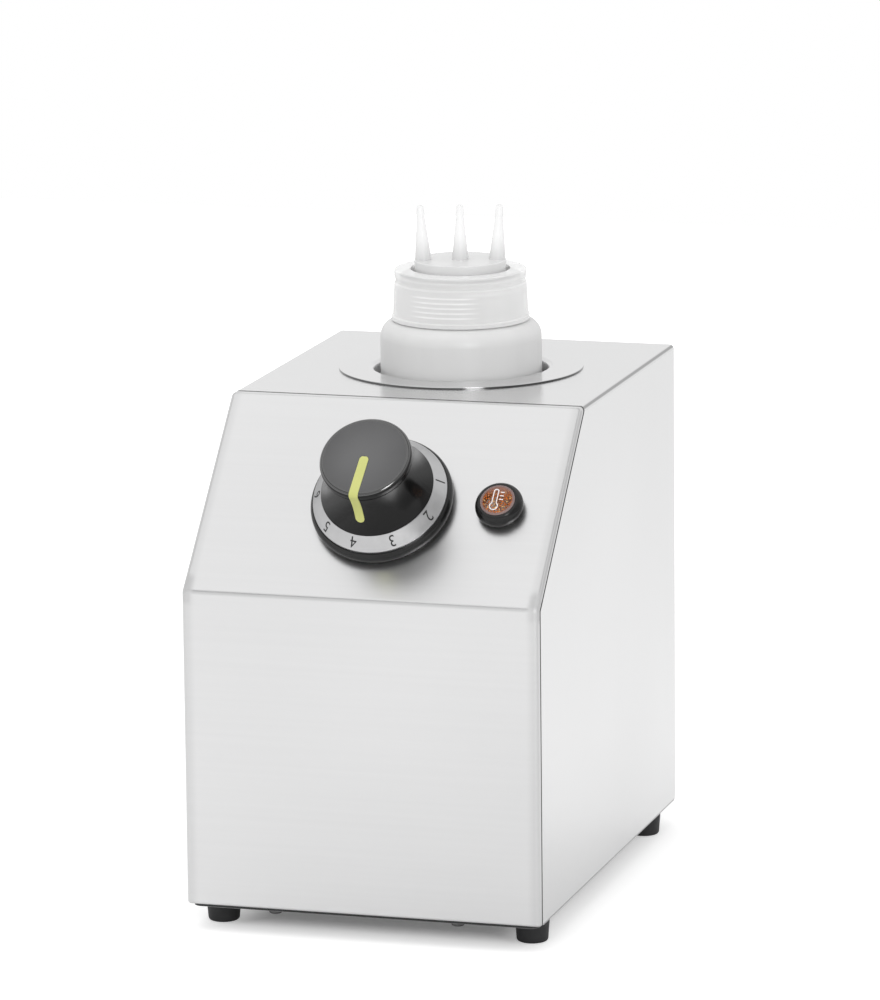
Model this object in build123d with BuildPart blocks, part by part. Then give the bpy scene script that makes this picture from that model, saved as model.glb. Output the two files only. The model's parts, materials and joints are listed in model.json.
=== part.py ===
"""Topping warmer: a heated dry well for one squeeze bottle, in a sloping-front sheet steel housing.

Millimetres. +X is to the right, +Y to the back, +Z up. The feet stand on Z = 0, and the origin is
the middle of the whole object's outline, knob and gland included.
"""
import os
from math import atan2, cos, radians, sin, tan

from build123d import *

os.makedirs("parts", exist_ok=True)

# ------------------------------------------------------------------ driving dimensions
# Housing sheets
housing_width = 155.0
housing_depth = 225.0
housing_height = 206.5  # from the shell's bottom edge to the top plate
front_height = 135.2  # the vertical part of the front
slant_run = 70.4  # how far the control face leans back
sheet = 0.8
bend = 2.2  # outer radius of a folded edge
fold_radius = 3.0  # outer radius of the fold below the control face
bottom_bend = 1.2
seam = 0.15  # gap between sheets that lap
corner_lap = 2.4  # how far the front panel's face wraps round the sides and the top
corner_gap = 0.8  # the open joint behind it
flange = 12.0  # width of the turned-in edges
notch = 1.0  # relief where two flanges would meet
front_corner = 1.5
rear_corner = 3.0
back_sheet = 1.0
back_inset = 3.0
base_sheet = 1.2
base_inset = 1.8
plate_corner = 4.0

# Fits between pieces
slip = 0.05  # a screw, spindle or peg in its own hole
loose = 0.15  # pieces that are laid together by hand
gap = 0.3  # curved or moving pieces that must not touch
clear = 0.4  # a clearance hole, all round its screw

# Feet
foot_height = 10.3
foot_top_radius = 7.4
foot_bottom_radius = 6.6
foot_edge = 1.3
foot_side = 9.5  # the screw's line, in from the cover's side
foot_inset = 21.0
foot_recess = 5.0

# Screws: shank radius, head radius and head height
m3_radius, m3_head_radius, m3_head = 1.5, 2.8, 1.8
m4_radius, m4_head_radius, m4_head = 2.0, 3.5, 2.4
m3_nut_width, m3_nut = 5.5, 2.4
m4_nut_width, m4_nut = 7.0, 3.2
drive_depth = 1.0  # cross recess
drive_width = 0.8
thread_end = 2.0  # what stands past a nut or a sheet

# Well and its flange
well_x = 1.2
well_from_front = 150.2
well_sheet = 0.8
well_depth = 168.0
well_gap = 2.6  # round the bottle
well_corner = 6.0
lip_radius = 2.2
flange_radius = 53.0
rim_round = 0.3
stud_circle = 48.0
stud_count = 3
stud_length = 9.0

# Heater, insulation and cut-out
heater_base = 10.0  # above the well's floor
heater_height = 100.0
heater_thickness = 3.5
heater_split = 12.0
lug_thickness = 2.0
lug_reach = 12.0
lug_height = 16.0
lug_spacing = 60.0
sleeve_thickness = 10.0
sleeve_height = 128.0
sleeve_slot = 44.0
cutout_radius = 8.5
cutout_body = 7.0
cutout_plate = 1.0
cutout_ear = 12.0
cutout_stud_length = 5.0

# Thermostat, its bulb and its capillary
dial_x = 1.35
dial_up = 47.5  # up the control face from the fold
thermostat_width = 36.0
thermostat_length = 44.0
thermostat_depth = 24.0
thermostat_plate = 1.5
thermostat_hole_spacing = 28.0
bush_radius = 5.0
bush_height = 2.0
spindle_radius = 3.0
spindle_flat = 1.6  # from the axis
spindle_foot = 8.0  # below the face
spindle_top = 24.0
flat_start = 9.0
tab_width, tab_thickness, tab_length = 6.3, 0.8, 8.0
bulb_radius = 3.0
bulb_length = 75.0
capillary_radius = 0.9
capillary_rise = 14.5  # above the insulation
capillary_side = 47.0  # how far it passes to the side of the well's axis

# Dial, ring and knob: radii, and heights out of the control face
dial_radius = 30.4
dial_belly = 3.0
dial_foot_radius = 28.4
dial_shoulder_radius = 29.3
dial_shoulder = 6.7
dial_floor = 2.5
dial_bore = 9.0
ring_radius = 28.7
ring_edge = 7.7
ring_inner_radius = 24.05
ring_top = 12.9
ring_sheet = 0.8
ring_lip = 1.3
knob_skirt_radius = 24.05
knob_waist_radius = 20.5
knob_waist = 22.0
knob_neck_radius = 19.4
knob_shoulder = 32.6
knob_wall = 2.2
hub_radius = 6.0
cap_groove = 0.6
cap_groove_depth = 0.7
cap_radius = 19.55
knob_height = 36.4
cap_round = 1.7
pointer_width = 3.9
pointer_start = -0.25  # from the axis
pointer_end = 19.2  # height of its lower end
pointer_depth = 0.8
pointer_proud = 0.15
pointer_angle = 183.7  # clockwise from the OFF mark at the top of the dial

# Lamp
lamp_x = 52.15
lamp_up = 48.0
lamp_foot_radius = 8.5
lamp_radius = 10.2
lamp_belly = 3.0
lamp_rim_radius = 8.4
lamp_height = 7.0
lamp_tube_radius = 6.2
lens_radius = 7.4
lens_edge = 7.2
lens_height = 8.1
lens_seat = 3.0
lamp_tube_length = 24.0
lamp_nut_radius = 8.6
lamp_nut_height = 3.0

# Bottle
bottle_radius = 35.0
bottle_wall = 1.2
bottle_shoulder = 21.3  # above the top plate
shoulder_radius = 7.3
bottle_corner = 5.0
push_up = 2.0
push_up_radius = 26.0
neck_radius = 26.0
neck_top = 38.1
neck_round = 1.5

# Screw cap, seal and nozzles, heights above the top plate
seal_thickness = 1.0
cap_lift = 0.3  # the screwed-down cap above the shoulder
thread_height = 1.2
thread_zone = 12.0
skirt_radius = 29.4
skirt_bead = 0.5
skirt_bead_height = 1.6
cap_top_radius = 28.7
cap_waist = 37.3
cap_waist_radius = 28.2
rim_radius = 28.7
rim_height = 43.4
rim_edge = 0.5
hub_hole_radius = 21.6
nozzle_hub_radius = 19.9
nozzle_hub_top = 47.3
nozzle_flange = 1.8
nozzle_wall = 1.4
plug_depth = 5.0
nozzle_count = 3
nozzle_spacing = 16.0
nozzle_lean = 2.9  # degrees outwards
nozzle_base_radius = 3.7
nozzle_tip_radius = 1.3
nozzle_bore_base = 2.2
nozzle_bore_tip = 0.7
nozzle_height = 23.4
row_angle = 16.5  # the row of nozzles, from +X

# Rear of the housing
vent_length, vent_width = 70.0, 3.5
vent_pitch = 8.0
upper_vents, lower_vents = 6, 4
upper_vent_drop = 48.0
lower_vent_rise = 40.0
rear_screw_rows = 3
rear_screw_margin = 10.0
gland_x = 45.0
gland_rise = 34.0
gland_bore = 4.0
gland_thread_radius = 8.0
gland_hex = 20.0
gland_collar = 5.0
gland_dome_radius = 8.6
gland_dome = 11.0
gland_dome_round = 3.0
gland_inner_length = 9.0
gland_locknut = 4.0

# Base
base_slot_length, base_slot_width = 26.0, 4.0
base_slot_pitch = 10.0
base_slots = 5
base_screw_x = 40.0
block_x = 30.0
block_from_rear = 22.0
block_length, block_width, block_height = 34.0, 18.0, 16.0
block_hole_pitch = 10.0
block_ways = 3
block_wire_radius = 2.2
earth_x = -25.0

# ------------------------------------------------------------------ derived places
shell_z = foot_height + base_sheet
top_z = shell_z + housing_height
fold_z = shell_z + front_height
slant_rise = housing_height - front_height
slant = atan2(slant_rise, slant_run)
turn = radians(90) - slant  # how much the front sheet turns at its fold

gland_reach = back_sheet + gland_collar + gland_dome
cap_side_height = knob_height - cap_round
knob_reach = cap_side_height * sin(slant) + cap_radius * cos(slant) - dial_up * cos(slant)
front_y = (knob_reach - gland_reach - housing_depth) / 2
rear_y = front_y + housing_depth
slant_top_y = front_y + slant_run

half_width = housing_width / 2
foot_x = half_width - foot_side
panel_half_width = half_width - sheet - seam
panel_top_z = top_z - sheet - seam
joggle = 0.75 * sheet  # where the lapped edges leave the front panel's face, behind its front

well_y = front_y + well_from_front
well_floor_z = top_z - well_depth
well_inner = bottle_radius + well_gap
well_outer = well_inner + well_sheet
well_axis = Plane(origin=(well_x, well_y, 0))


def face_plane(across, up, out=0.0):
    """A plane on the control face: `up` runs up the slope from the fold, `out` leaves the face."""
    upward = Vector(0, cos(slant), sin(slant))
    outward = Vector(0, -sin(slant), cos(slant))
    origin = Vector(across, front_y, fold_z) + upward * up + outward * out
    return Plane(origin=origin, x_dir=(1, 0, 0), z_dir=outward)


def behind_face(depth, z):
    """The place (y, z) that lies `depth` behind the control face at height `z`."""
    return (slant_top_y - (top_z - z) / tan(slant) + depth / sin(slant), z)


def behind_fold(depth):
    """The place (y, z) where the planes `depth` behind the two front faces meet."""
    return (front_y + depth, fold_z - depth * tan(turn / 2))


def section(base):
    """The half-section plane of a turned piece: sketch x is the radius, sketch y runs along its axis."""
    return Plane(origin=base.origin, x_dir=base.x_dir, z_dir=-base.y_dir)


def axis_of(base):
    """The axis that a turned piece on plane `base` is revolved about."""
    return Axis(base.origin, base.z_dir)


def raised(base, height):
    """Plane `base` moved along its own normal."""
    return base.offset(height)


def keep(piece, name):
    """Labels a finished piece and writes it to its own file."""
    piece.part.label = name
    export_step(piece.part, f"parts/{name}.step")
    print(f"{name:22s} solids {len(piece.part.solids())}  volume {piece.part.volume:10.1f}")


def pan_screw(base, shank, head_radius, head, reach):
    """A pan-head screw whose head sits on plane `base` and whose shank runs `reach` behind it."""
    with BuildPart(mode=Mode.PRIVATE) as screw:
        with BuildSketch(section(base)):
            with BuildLine():
                Polyline(
                    (0, -reach), (shank, -reach), (shank, 0), (head_radius, 0), (head_radius, head),
                    (0, head), close=True,
                )
            make_face()
        revolve(axis=axis_of(base))
        crown = screw.edges().filter_by(GeomType.CIRCLE).sort_by(Axis(base.origin, base.z_dir))[-1]
        fillet(crown, head * 0.45)
        with BuildSketch(raised(base, head)):
            Rectangle(head_radius, drive_width)
            Rectangle(drive_width, head_radius)
        extrude(amount=-drive_depth, mode=Mode.SUBTRACT)
    return screw.part


def hex_nut(base, bore, width, height):
    """A hexagon nut that stands on plane `base`."""
    with BuildPart(mode=Mode.PRIVATE) as nut:
        with BuildSketch(base):
            RegularPolygon(width / 2, 6, major_radius=False)
            Circle(bore, mode=Mode.SUBTRACT)
        extrude(amount=height)
    return nut.part


# ------------------------------------------------------------------ housing sheets
foot_y_front = front_y + foot_inset
foot_y_rear = rear_y - foot_inset
foot_places = [
    (sx * foot_x, y) for y in (foot_y_front, foot_y_rear) for sx in (-1, 1)
]
strip_x = half_width - flange / 2
strip_screw_places = [(sx * strip_x, (front_y + rear_y) / 2) for sx in (-1, 1)]
front_screw_places = [(sx * base_screw_x, front_y + flange / 2) for sx in (-1, 1)]
stud_places = [
    (
        well_x + stud_circle * cos(radians(90 + 360 * i / stud_count)),
        well_y + stud_circle * sin(radians(90 + 360 * i / stud_count)),
    )
    for i in range(stud_count)
]
back_height = housing_height - 2 * back_inset
back_middle_z = shell_z + housing_height / 2
rear_face = Plane(origin=(0, rear_y, back_middle_z), x_dir=(-1, 0, 0), z_dir=(0, 1, 0))
rear_screw_pitch = (back_height - 2 * (flange + rear_screw_margin)) / (rear_screw_rows - 1)
gland_z = shell_z + gland_rise
gland_axis = Plane(origin=(gland_x, rear_y, gland_z), x_dir=(-1, 0, 0), z_dir=(0, 1, 0))

with BuildPart() as cover:
    with BuildSketch(Plane.YZ):
        with BuildLine():
            Polyline(
                (front_y, shell_z), (front_y, fold_z), (slant_top_y, top_z), (rear_y, top_z),
                (rear_y, shell_z), close=True,
            )
        make_face()
    extrude(amount=half_width, both=True)
    top_face = cover.faces().sort_by(Axis.Z)[-1]
    rear_side = cover.faces().sort_by(Axis.Y)[-1]
    side_edges = top_face.edges().filter_by(Axis.Y)
    rear_edges = rear_side.edges().filter_by(Axis.Z)
    top_rear_edge = top_face.edges().filter_by(Axis.X).sort_by(Axis.Y)[-1]
    fillet(side_edges + rear_edges + [top_rear_edge], bend)
    front_faces = cover.faces().filter_by(GeomType.PLANE).sort_by(Axis.Y)[0]
    slant_faces = [
        f for f in cover.faces().filter_by(GeomType.PLANE)
        if abs(f.normal_at().Y) > 0.1 and abs(f.normal_at().Z) > 0.1
    ]
    offset(amount=-sheet, openings=[front_faces] + slant_faces)
    # Only turned-in flanges are left of the back and the bottom.
    with BuildSketch(Plane.XY.offset(shell_z - 1)):
        with Locations((0, (front_y + rear_y) / 2)):
            Rectangle(housing_width - 2 * flange, housing_depth + 2)
    extrude(amount=housing_height + 1 - flange, mode=Mode.SUBTRACT)
    # The flanges are notched where they would meet the front panel or each other.
    with BuildSketch(Plane.XY.offset(shell_z - 1)):
        with Locations((0, front_y + (flange + notch) / 2)):
            Rectangle(housing_width - 2 * sheet, flange + notch)
    extrude(amount=sheet + 2, mode=Mode.SUBTRACT)
    with BuildSketch(Plane.XY.offset(shell_z - 1)):
        with Locations((0, rear_y - (flange + notch) / 2)):
            Rectangle(housing_width - 2 * sheet, flange + notch + 0.01)
        with Locations((0, rear_y)):
            Rectangle(housing_width + 2, 2 * bend)
    extrude(amount=flange + notch + 1, mode=Mode.SUBTRACT)
    # The front panel's face takes the place of the cover's front edge.
    cut = corner_lap + corner_gap
    with BuildSketch(Plane.YZ):
        with BuildLine():
            Polyline(
                (front_y - 1, shell_z - 1), (front_y - 1, top_z + 1),
                behind_face(cut, top_z + 1), behind_fold(cut),
                (front_y + cut, shell_z - 1), close=True,
            )
        make_face()
    extrude(amount=housing_width, both=True, mode=Mode.SUBTRACT)
    foot_corners = cover.edges().filter_by(Axis.X).filter_by(
        lambda e: e.center().Z < shell_z + 0.01 and e.length < sheet + 0.01
    ).group_by(Axis.Y)
    fillet(foot_corners[0], front_corner)
    rear_corners = cover.edges().filter_by(Axis.X).filter_by(
        lambda e: e.center().Z < shell_z + 0.01 and e.length < sheet + 0.01
    ).group_by(Axis.Y)
    fillet(rear_corners[-1], rear_corner)
    # Holes: the well, its studs, the feet's and the base's screws, the rear panel's screws.
    with BuildSketch(Plane.XY.offset(top_z + 1)):
        with Locations((well_x, well_y)):
            Circle(well_inner + lip_radius + gap)
        with Locations(*stud_places):
            Circle(m4_radius + clear)
    extrude(amount=-sheet - 2, mode=Mode.SUBTRACT)
    with BuildSketch(Plane.XY.offset(shell_z - 1)):
        with Locations(*foot_places):
            Circle(m4_radius + slip)
        with Locations(*strip_screw_places):
            Circle(m3_radius + slip)
    extrude(amount=sheet + 2, mode=Mode.SUBTRACT)
    with BuildSketch(raised(rear_face, 1)):
        with GridLocations(2 * strip_x, rear_screw_pitch, 2, rear_screw_rows):
            Circle(m3_radius + slip)
    extrude(amount=-sheet - 2, mode=Mode.SUBTRACT)

with BuildPart(mode=Mode.PRIVATE) as panel_edges:
    # The lapped edges stand inside the cover and leave the face within its bends. They are
    # notched at the fold and where two of them would meet.
    edge_top_z = panel_top_z - sheet - notch
    edge_bottom_z = shell_z + bend + notch
    (outer_y, outer_z), (inner_y, inner_z) = behind_fold(joggle), behind_fold(flange)
    step_y, step_z = fold_radius * cos(slant), fold_radius * sin(slant)
    lower_edge = [
        (outer_y, edge_bottom_z), (outer_y, outer_z - fold_radius),
        (inner_y, inner_z - fold_radius), (inner_y, edge_bottom_z),
    ]
    upper_edge = [
        (outer_y + step_y, outer_z + step_z), behind_face(joggle, edge_top_z),
        behind_face(flange, edge_top_z), (inner_y + step_y, inner_z + step_z),
    ]
    for sx in (-1, 1):
        for outline in (lower_edge, upper_edge):
            with BuildSketch(Plane.YZ.offset(sx * panel_half_width)):
                with BuildLine():
                    Polyline(*outline, close=True)
                make_face()
            extrude(amount=-sx * sheet)
    with BuildSketch(Plane.YZ):
        with BuildLine():
            Polyline(
                behind_face(joggle, panel_top_z), behind_face(flange, panel_top_z),
                behind_face(flange, panel_top_z - sheet), behind_face(joggle, panel_top_z - sheet),
                close=True,
            )
        make_face()
        with Locations((front_y + (corner_lap + bottom_bend) / 2, shell_z)):
            Rectangle(
                flange - (corner_lap + bottom_bend) / 2, sheet, align=(Align.MIN, Align.MIN)
            )
    extrude(amount=panel_half_width - sheet - notch, both=True)

with BuildPart() as front_panel:
    with BuildSketch(Plane.YZ):
        with BuildLine():
            Polyline(
                (front_y, shell_z), (front_y, fold_z), (slant_top_y, top_z),
                behind_face(corner_lap, top_z), behind_fold(corner_lap),
                (front_y + corner_lap, shell_z), close=True,
            )
        make_face()
    extrude(amount=half_width, both=True)
    fold_edge = front_panel.edges().filter_by(Axis.X).sort_by(Axis.Y)[0:2].sort_by(Axis.Z)[-1]
    fillet(fold_edge, fold_radius)
    side_chain = [
        e for e in front_panel.edges()
        if abs(abs(e.center().X) - half_width) < 0.01
        and (
            e.center().Y < front_y + 0.3 * fold_radius
            or abs((e.center().Y - front_y) * tan(slant) - (e.center().Z - fold_z)) < 0.5
        )
        and abs(e.center().Z - shell_z) > 1
    ]
    top_edge = [
        e for e in front_panel.edges().filter_by(Axis.X)
        if abs(e.center().Z - top_z) < 0.01 and e.center().Y < slant_top_y + 0.01
    ]
    top_sides = [
        e for e in front_panel.edges().filter_by(Axis.Y)
        if abs(e.center().Z - top_z) < 0.01
    ]
    fillet(side_chain + top_edge + top_sides, bend)
    bottom_edge = [
        e for e in front_panel.edges().filter_by(Axis.X)
        if abs(e.center().Z - shell_z) < 0.01 and e.center().Y < front_y + 0.01
    ]
    fillet(bottom_edge, bottom_bend)
    back_faces = [
        f for f in front_panel.faces().filter_by(GeomType.PLANE)
        if f.normal_at().Y > 0.3
    ]
    offset(amount=-sheet, openings=back_faces)
    for lapped in panel_edges.part.solids():
        add(lapped)
    with BuildSketch(face_plane(dial_x, dial_up, 1)):
        Circle(bush_radius + clear)
        with GridLocations(thermostat_hole_spacing, 0, 2, 1):
            Circle(m4_radius + clear)
    extrude(amount=-sheet - 2, mode=Mode.SUBTRACT)
    with BuildSketch(face_plane(lamp_x, lamp_up, 1)):
        Circle(lamp_tube_radius + slip)
    extrude(amount=-sheet - 2, mode=Mode.SUBTRACT)
    with BuildSketch(Plane.XY.offset(shell_z - 1)):
        with Locations(*front_screw_places):
            Circle(m3_radius + slip)
    extrude(amount=sheet + 2, mode=Mode.SUBTRACT)

with BuildPart() as rear_panel:
    with BuildSketch(rear_face):
        RectangleRounded(housing_width - 2 * back_inset, back_height, plate_corner)
        with GridLocations(2 * strip_x, rear_screw_pitch, 2, rear_screw_rows):
            Circle(m3_radius + clear, mode=Mode.SUBTRACT)
        with Locations((0, back_height / 2 - upper_vent_drop)):
            with GridLocations(0, vent_pitch, 1, upper_vents):
                SlotOverall(vent_length, vent_width, mode=Mode.SUBTRACT)
        with Locations((gland_x / 2, lower_vent_rise - back_height / 2)):
            with GridLocations(0, vent_pitch, 1, lower_vents):
                SlotOverall(vent_length, vent_width, mode=Mode.SUBTRACT)
        with Locations((-gland_x, gland_z - back_middle_z)):
            Circle(gland_thread_radius + slip, mode=Mode.SUBTRACT)
    extrude(amount=back_sheet)

with BuildPart() as rear_screws:
    for place in GridLocations(2 * strip_x, rear_screw_pitch, 2, rear_screw_rows):
        at = Plane(rear_face.location * place).offset(back_sheet)
        add(pan_screw(at, m3_radius, m3_head_radius, m3_head, back_sheet + sheet + thread_end))

earth_y = rear_y - block_from_rear
with BuildPart() as base_plate:
    with BuildSketch(Plane.XY.offset(foot_height)):
        with Locations((0, (front_y + rear_y) / 2)):
            RectangleRounded(
                housing_width - 2 * base_inset, housing_depth - 2 * base_inset, plate_corner
            )
            with GridLocations(2 * base_slot_length, base_slot_pitch, 2, base_slots):
                SlotOverall(base_slot_length, base_slot_width, mode=Mode.SUBTRACT)
        with Locations(*foot_places):
            Circle(m4_radius + clear, mode=Mode.SUBTRACT)
        with Locations(*strip_screw_places, *front_screw_places):
            Circle(m3_radius + clear, mode=Mode.SUBTRACT)
        with Locations((block_x, earth_y)):
            with GridLocations(block_hole_pitch, 0, 2, 1):
                Circle(m3_radius + slip, mode=Mode.SUBTRACT)
        with Locations((earth_x, earth_y)):
            Circle(m4_radius + slip, mode=Mode.SUBTRACT)
    extrude(amount=base_sheet)

with BuildPart() as base_screws:
    for x, y in strip_screw_places + front_screw_places:
        at = Plane(origin=(x, y, foot_height), x_dir=(-1, 0, 0), z_dir=(0, 0, -1))
        add(pan_screw(at, m3_radius, m3_head_radius, m3_head, base_sheet + sheet + thread_end))

# ------------------------------------------------------------------ feet
feet = {}
foot_names = ["foot_front_left", "foot_front_right", "foot_rear_left", "foot_rear_right"]
for foot_name, (x, y) in zip(foot_names, foot_places):
    stand = Plane(origin=(x, y, 0))
    with BuildPart() as foot:
        with BuildSketch(section(stand)):
            with BuildLine():
                Polyline(
                    (m4_radius + clear, foot_height), (foot_top_radius, foot_height),
                    (foot_bottom_radius, 0), (m4_head_radius + clear, 0),
                    (m4_head_radius + clear, foot_recess), (m4_radius + clear, foot_recess),
                    close=True,
                )
            make_face()
        revolve(axis=axis_of(stand))
        sole_edge = foot.edges().filter_by(GeomType.CIRCLE).filter_by(
            lambda e: abs(e.radius - foot_bottom_radius) < 0.01
        )
        fillet(sole_edge, foot_edge)
    feet[foot_name] = foot

shell_floor = shell_z + sheet
with BuildPart() as foot_screws:
    for x, y in foot_places:
        at = Plane(origin=(x, y, foot_recess), x_dir=(-1, 0, 0), z_dir=(0, 0, -1))
        reach = shell_floor - foot_recess + m4_nut + thread_end
        add(pan_screw(at, m4_radius, m4_head_radius, m4_head, reach))

with BuildPart() as foot_nuts:
    for x, y in foot_places:
        add(hex_nut(Plane(origin=(x, y, shell_floor)), m4_radius + slip, m4_nut_width, m4_nut))

# ------------------------------------------------------------------ well
flange_z = top_z + well_sheet
cutout_places = [(well_x + sx * cutout_ear, well_y) for sx in (-1, 1)]
well_underside_z = well_floor_z - well_sheet
with BuildPart() as well_cup:
    with BuildSketch(section(well_axis)):
        with BuildLine():
            FilletPolyline(
                (0, well_floor_z), (well_inner, well_floor_z), (well_inner, flange_z),
                (flange_radius, flange_z), radius=[well_corner, lip_radius],
            )
            offset(amount=well_sheet, side=Side.RIGHT)
        make_face()
    revolve(axis=axis_of(well_axis))
    flange_edge = well_cup.edges().filter_by(GeomType.CIRCLE).filter_by(
        lambda e: abs(e.radius - flange_radius) < 0.01 and e.center().Z > top_z + well_sheet / 2
    )
    fillet(flange_edge, rim_round)
    with BuildSketch(Plane.XY.offset(top_z + well_sheet / 2)):
        with Locations(*stud_places):
            Circle(m4_radius)
    extrude(amount=-well_sheet / 2 - stud_length)
    with BuildSketch(Plane.XY.offset(well_underside_z + well_sheet / 2)):
        with Locations(*cutout_places):
            Circle(m3_radius)
    extrude(amount=-cutout_stud_length)

with BuildPart() as well_nuts:
    for x, y in stud_places:
        at = Plane(origin=(x, y, top_z - sheet - m4_nut))
        add(hex_nut(at, m4_radius + slip, m4_nut_width, m4_nut))

# ------------------------------------------------------------------ heater and insulation
heater_inner = well_outer + loose
heater_outer = heater_inner + heater_thickness
heater_z = well_floor_z + heater_base
bulb_centre = well_outer + loose + bulb_radius
clamp_centre = bulb_centre + bulb_radius + gap + m4_radius
clamp_z = [heater_z + heater_height / 2 + s * lug_spacing / 2 for s in (-1, 1)]
lug_x = heater_split / 2 + lug_thickness / 2
lug_middle = heater_outer - heater_thickness / 2 + lug_reach / 2

with BuildPart() as heater_band:
    with BuildSketch(Plane(origin=(well_x, well_y, heater_z))):
        Circle(heater_outer)
        Circle(heater_inner, mode=Mode.SUBTRACT)
        with Locations((0, heater_outer)):
            Rectangle(heater_split, 4 * heater_thickness, mode=Mode.SUBTRACT)
    extrude(amount=heater_height)
    for z in clamp_z:
        with BuildSketch(Plane(origin=(well_x, well_y + lug_middle, z - lug_height / 2))):
            for sx in (-1, 1):
                with Locations((sx * lug_x, 0)):
                    Rectangle(lug_thickness, lug_reach)
        extrude(amount=lug_height)
        with BuildSketch(Plane(origin=(well_x - heater_split, well_y + clamp_centre, z),
                               x_dir=(0, 1, 0), z_dir=(1, 0, 0))):
            Circle(m4_radius + slip)
        extrude(amount=2 * heater_split, mode=Mode.SUBTRACT)

lug_face = heater_split / 2 + lug_thickness
with BuildPart() as clamp_screws:
    for z in clamp_z:
        at = Plane(origin=(well_x - lug_face, well_y + clamp_centre, z),
                   x_dir=(0, 1, 0), z_dir=(-1, 0, 0))
        add(pan_screw(at, m4_radius, m4_head_radius, m4_head, 2 * lug_face + m4_nut + thread_end))

with BuildPart() as clamp_nuts:
    for z in clamp_z:
        at = Plane(origin=(well_x + lug_face, well_y + clamp_centre, z),
                   x_dir=(0, 1, 0), z_dir=(1, 0, 0))
        add(hex_nut(at, m4_radius + slip, m4_nut_width, m4_nut))

sleeve_inner = heater_outer + gap
sleeve_z = well_underside_z + gap
with BuildPart() as insulation_sleeve:
    with BuildSketch(Plane(origin=(well_x, well_y, sleeve_z))):
        Circle(sleeve_inner + sleeve_thickness)
        Circle(sleeve_inner, mode=Mode.SUBTRACT)
        with Locations((0, sleeve_inner + sleeve_thickness / 2)):
            Rectangle(sleeve_slot, 4 * sleeve_thickness, mode=Mode.SUBTRACT)
    extrude(amount=sleeve_height)

with BuildPart() as limit_cutout:
    with BuildSketch(Plane.XY.offset(well_underside_z)):
        with Locations((well_x, well_y)):
            SlotOverall(2 * cutout_ear + 4 * m3_radius, 4 * m3_radius)
            Circle(cutout_radius)
        with Locations(*cutout_places):
            Circle(m3_radius + slip, mode=Mode.SUBTRACT)
    extrude(amount=-cutout_plate)
    with BuildSketch(Plane.XY.offset(well_underside_z - cutout_plate)):
        with Locations((well_x, well_y)):
            Circle(cutout_radius - 3 * slip)
    extrude(amount=-cutout_body)
    with BuildSketch(Plane.XY.offset(well_underside_z - cutout_plate - cutout_body)):
        with Locations((well_x, well_y)):
            with GridLocations(0, cutout_radius, 1, 2):
                Rectangle(tab_width, tab_thickness)
    extrude(amount=-tab_length)

with BuildPart() as cutout_nuts:
    for x, y in cutout_places:
        at = Plane(origin=(x, y, well_underside_z - cutout_plate - m3_nut))
        add(hex_nut(at, m3_radius + slip, m3_nut_width, m3_nut))

# ------------------------------------------------------------------ thermostat
bulb_z = heater_z + heater_height - bulb_length
thermostat_back = -sheet - thermostat_plate - thermostat_depth
dial_face = face_plane(dial_x, dial_up)

with BuildPart() as thermostat_body:
    with BuildSketch(raised(dial_face, -sheet)):
        RectangleRounded(thermostat_width, thermostat_length, plate_corner / 2)
        with GridLocations(thermostat_hole_spacing, 0, 2, 1):
            Circle(m4_radius + slip, mode=Mode.SUBTRACT)
    extrude(amount=-thermostat_plate)
    with BuildSketch(raised(dial_face, -sheet - thermostat_plate)):
        RectangleRounded(
            thermostat_hole_spacing - 2 * (m4_radius + clear), thermostat_length - 2 * thermostat_plate,
            plate_corner / 2,
        )
    extrude(amount=-thermostat_depth)
    with BuildSketch(raised(dial_face, -sheet)):
        Circle(bush_radius)
    extrude(amount=sheet + bush_height)
    with BuildSketch(raised(dial_face, thermostat_back)):
        with GridLocations(0, thermostat_length / 3, 1, 3):
            Rectangle(tab_width, tab_thickness)
    extrude(amount=-tab_length)
    with BuildSketch(raised(dial_face, bush_height)):
        Circle(spindle_radius + slip)
    extrude(amount=-bush_height - spindle_foot - slip, mode=Mode.SUBTRACT)

with BuildPart() as thermostat_screws:
    for sx in (-1, 1):
        at = face_plane(dial_x + sx * thermostat_hole_spacing / 2, dial_up, dial_floor)
        add(pan_screw(at, m4_radius, m4_head_radius, m4_head, dial_floor + sheet + thermostat_plate))

# The capillary leaves the thermostat's back, rises, passes the well on its left and meets the bulb.
tail = raised(dial_face, thermostat_back - loose)
tail_point = tail.origin - tail.x_dir * (thermostat_hole_spacing / 2 - plate_corner) + tail.y_dir * 4
capillary_z = sleeve_z + sleeve_height + capillary_rise
bulb_top_z = bulb_z + bulb_length
bulb_xy = (well_x, well_y + bulb_centre)
side_x = well_x - capillary_side
capillary_points = [
    tail_point,
    tail_point - tail.z_dir * 12,
    (side_x, well_y - bulb_centre * 0.9, capillary_z),
    (side_x, well_y + bulb_centre, capillary_z),
    (bulb_xy[0], bulb_xy[1], capillary_z),
    (bulb_xy[0], bulb_xy[1], bulb_top_z),
]
capillary_radii = [7.0, 14.0, 24.0, 10.0]
with BuildPart() as capillary_tube:
    with BuildLine():
        run = FilletPolyline(*capillary_points, radius=capillary_radii)
    with BuildSketch(Plane(origin=run @ 0, z_dir=run % 0)):
        Circle(capillary_radius)
    sweep(path=run)
print("capillary length", round(run.length, 1), "radii", capillary_radii)

with BuildPart() as sensor_bulb:
    with BuildSketch(Plane(origin=(bulb_xy[0], bulb_xy[1], bulb_z))):
        Circle(bulb_radius)
    extrude(amount=bulb_length)
    fillet(sensor_bulb.edges().filter_by(GeomType.CIRCLE), bulb_radius * 0.6)

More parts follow.
